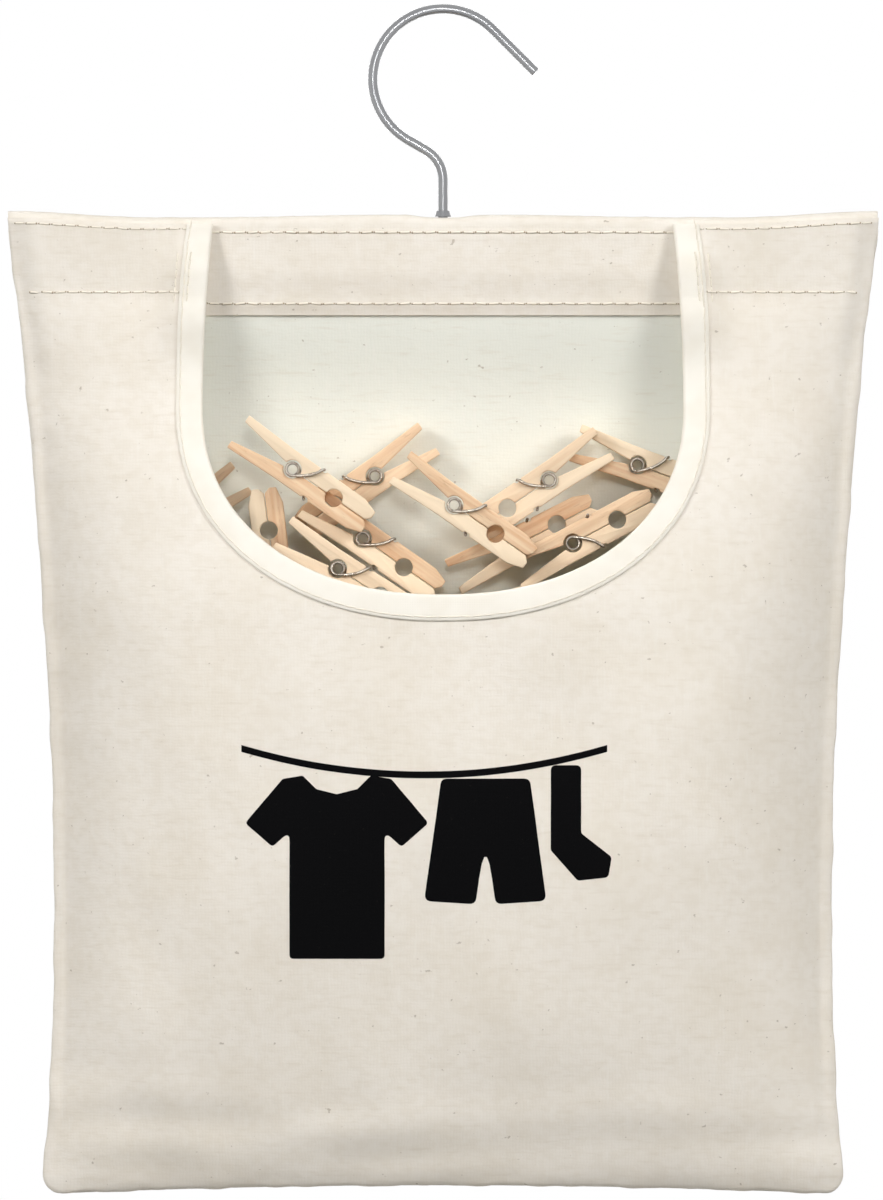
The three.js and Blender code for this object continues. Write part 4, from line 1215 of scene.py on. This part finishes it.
def spring_runs(side, moving):
    """The spring's wire in u, y and w: a coil between the legs, and a bowed arm over each leg.

    The arm in front lies over the leg on the given side. The arm over the moving leg is a run of its own,
    which starts inside the coil's last curl and slides round it as the peg is squeezed."""
    reach = math.hypot(ARM_U, ARM_W)
    leave = math.atan2(ARM_W, ARM_U) - math.acos(COIL_RADIUS / reach)
    wound = 2 * math.pi * COIL_CURLS + 2 * leave
    share = np.linspace(0, 1, 116)
    turn = leave - wound * share
    level = lerp(ARM_SIDE, -ARM_SIDE, share)
    coil = np.stack([COIL_RADIUS * np.cos(turn), level, COIL_RADIUS * np.sin(turn)], axis=1)
    corner = np.array([ARM_U, ARM_SIDE, ARM_W])
    back = coil[0] - corner
    length = np.linalg.norm(back)
    back = back / length
    bend = 1.4 * SPRING_WIRE
    hooked = np.array([[ARM_U, y, ARM_W] for y in np.linspace(ARM_END - ARM_SIDE, ARM_SIDE - bend, 6)])
    t = np.linspace(0, 1, 9)[1:, None]
    into, out = corner - (0, bend, 0), corner + back * bend
    round_bend = into * (1 - t) ** 2 + corner * 2 * t * (1 - t) + out * t**2
    way = np.linspace(bend, length, 10)[1:-1, None]
    bowed = corner + back * way + np.array([-back[2], 0, back[0]]) * ARM_BOW * np.sin(math.pi * way / length)
    arm = np.concatenate([hooked, round_bend, bowed])
    other_arm = (arm * (1, -1, -1))[::-1]
    if moving == side:
        held, turning = [arm, coil[:-LAP_START]], [coil[-LAP_END:], other_arm]
    else:
        held, turning = [coil[LAP_START:], other_arm], [coil[:LAP_END][::-1], arm[::-1]]
    return [np.concatenate(run) * (1, 1, -side) for run in (held, turning)]


def spring_wire(side, moving):
    """Points and faces of the spring's two runs. The second is thinner where it lies inside the first."""
    held, turning = spring_runs(side, moving)
    thin = np.ones(len(turning))
    thin[:3] = (0.8, 0.8, 0.85)
    radius = SPRING_SHOWN * SPRING_WIRE
    return tube(held, np.full(len(held), radius), 10), tube(turning, radius * thin, 10)


def peg_piece(name, form, place, material, number):
    """One piece of a peg at its place, with its own stretch of grain and its own tone."""
    local, faces = form
    piece = solid_piece(name, local @ place[0].T + place[1], faces, material)
    seed = 17.0 * number
    mark(piece.data, "grain", (local + (3 * seed, 0.7 * seed, 1.3 * seed)) * MM)
    mark(piece.data, "tone", [0.5 + 0.5 * math.sin(2.4 * number)] * len(local))
    return piece


def pegs():
    """The legs and the spring of each peg, where the frame's joints and line notches put them."""
    openings = {o["name"]: o["box_m"] for o in frame["record"]["physics"]["openings"]}
    legs = {side: leg_form(side) for side in (-1, 1)}
    springs = {(side, moving): spring_wire(side, moving) for side in (-1, 1) for moving in (-1, 1)}
    squeezes = [j for j in frame["joints"] if j["name"].endswith("_squeeze")]
    for number, joint in enumerate(squeezes, 1):
        label = joint["name"].removesuffix("_squeeze")
        coil = np.array(joint["pos_m"]) / MM
        notch = np.mean(openings[label + "_line_notch"], axis=0) / MM
        u = (notch - coil) / np.linalg.norm(notch - coil)
        place = np.stack([u, (0, 1, 0), np.cross(u, (0, 1, 0))], axis=1), coil
        moving = -int(joint["axis"][1])
        wire, turning_arm = springs[FRONT_ARMS[number - 1], moving]
        parts = [
            ("_fixed_leg", "", legs[-moving], BEECH, "peg_wood", joint["parent"], 2 * number),
            ("_moving_leg", "", legs[moving], BEECH, "peg_wood", joint["child"], 2 * number + 1),
            ("_spring", "", wire, STEEL, "spring_steel", joint["parent"], number),
            ("_spring", "_arm", turning_arm, STEEL, "spring_steel", joint["child"], number),
        ]
        for part, end, form, material, slot, body, seed in parts:
            piece = peg_piece(label + "_fine" + part + end, form, place, material, seed)
            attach(piece, body)
            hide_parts(label + part)


# Assembly

def dress_bag():
    """The cloth, its stitches and its print, all on the bag."""
    edge, ways = mouth_stations()
    back = canvas_back()
    front = canvas_front(edge)
    tape = mouth_tape(edge, ways)
    print_film = printed_motif()
    rows = canvas_stitches()
    tape_rows, tacks = tape_stitches(edge, ways)
    on_bag = [
        (back, "canvas", "back_panel"), (front, "canvas", "front_panel"), (tape, "tape", "mouth_binding"),
        (print_film, "canvas", None), (rows, "canvas", None), (tape_rows, "tape", None), (tacks, "tape", None),
    ]
    for piece, slot, node in on_bag:
        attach(piece, "bag")
        if node:
            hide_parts(node)


def dress_hook():
    """The hook and its ferrule, and the finishes of the slat and the washer, which stay as they are."""
    for piece, node in ((wire_hook(), "hook"), (ferrule(), "hook_collar")):
        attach(piece, "hook")
        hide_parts(node)
    frame["nodes"]["hanger_slat"].material_slots[0].material = PINE
    frame["nodes"]["hook_washer"].material_slots[0].material = ZINC_RING


# Studio

def clear_rays(tree):
    """1 for what the camera sees straight, in metal or through glass, else 0."""
    seen = add(tree, "ShaderNodeLightPath").outputs
    either = calc(tree, "MAXIMUM", seen["Is Camera Ray"], seen["Is Glossy Ray"])
    return calc(tree, "MAXIMUM", either, seen["Is Transmission Ray"])


def floor():
    """A pale round floor below the bag, which fades to white at its rim."""
    material, tree, shader = new_material("pale studio floor", Roughness=0.9)
    link(tree, linear(0xD2D1CE), shader.inputs["Base Color"])
    middle = add(tree, "ShaderNodeVectorMath", {0: along_frame(tree), 1: (1, 1, 0)}, operation="MULTIPLY")
    out = add(tree, "ShaderNodeVectorMath", {0: middle}, operation="LENGTH").outputs["Value"]
    fade = add(tree, "ShaderNodeMapRange", {0: out, 1: 0.35, 2: 0.8}, interpolation_type="SMOOTHSTEP")
    share = calc(tree, "MULTIPLY", fade, clear_rays(tree))
    white = add(tree, "ShaderNodeEmission", {0: (1, 1, 1, 1), 1: 1.0})
    blend = add(tree, "ShaderNodeMixShader", {0: share, 1: shader, 2: white})
    link(tree, blend, tree.nodes["Material Output"].inputs[0])
    turn = np.linspace(0, 2 * math.pi, 97)[:-1]
    level = np.full(96, BAG_BOTTOM - FLOOR_DROP)
    points = np.stack([FLOOR_RADIUS * np.cos(turn), FLOOR_RADIUS * np.sin(turn), level], axis=1)
    new_piece("studio_floor", points, [list(range(96))], material)


def world():
    """Soft light, more from above than from below, seen as white by the camera and in reflections."""
    sky = bpy.data.worlds.new("studio")
    bpy.context.scene.world = sky
    sky.use_nodes = True
    tree = sky.node_tree
    light = tree.nodes["Background"]
    light.inputs[0].default_value = (1, 1, 1, 1)
    way = add(tree, "ShaderNodeTexCoord").outputs["Generated"]
    height = add(tree, "ShaderNodeSeparateXYZ", {0: way}).outputs["Z"]
    link(tree, add(tree, "ShaderNodeMapRange", {0: height, 1: -0.6, 2: 0.6, 3: 0.03, 4: 0.36}), light.inputs[1])
    white = add(tree, "ShaderNodeBackground", {0: (1, 1, 1, 1), 1: 1.0})
    blend = add(tree, "ShaderNodeMixShader", {0: clear_rays(tree), 1: light, 2: white})
    link(tree, blend, tree.nodes["World Output"].inputs[0])


def lamp(name, place, size, watts, spread=180, in_metal=True):
    """A square soft light that faces the bag's mouth, with a grid before it where its spread is below 180.

    in_metal is False for a light that bright metal doesn't reflect."""
    light = bpy.data.lights.new(name, "AREA")
    light.size = size
    light.energy = watts
    light.spread = math.radians(spread)
    rig = placed(name, light)
    rig.location = place
    rig.visible_glossy = in_metal
    aim = Vector((0, 0, MOUTH_FOOT * MM)) - rig.location
    rig.rotation_euler = aim.to_track_quat("-Z", "Y").to_euler()


def camera():
    """Straight in front of the bag, through a long lens."""
    lens = bpy.data.cameras.new("camera")
    lens.lens = LENS
    lens.sensor_width = SENSOR
    rig = placed("camera", lens)
    distance = VIEW_HEIGHT * MM * LENS / SENSOR
    rig.location = (VIEW_X * MM, VIEW_PLANE * MM - distance, VIEW_Z * MM)
    rig.rotation_euler = (math.radians(90), 0, 0)
    bpy.context.scene.camera = rig


bpy.context.scene.view_settings.view_transform = "Standard"
camera()
dress_bag()
dress_hook()
pegs()
floor()
world()
lamp("left_light", (-1.67, -1.5, 0.85), 0.8, 1.85, 40, in_metal=False)
lamp("right_light", (1.67, -1.5, 0.85), 0.8, 1.76, 40, in_metal=False)
lamp("front_light", (0, -2, 0.22), 0.25, 0.33, 36)
lamp("back_light", (0, 2.2, 0.1), 1, 31)
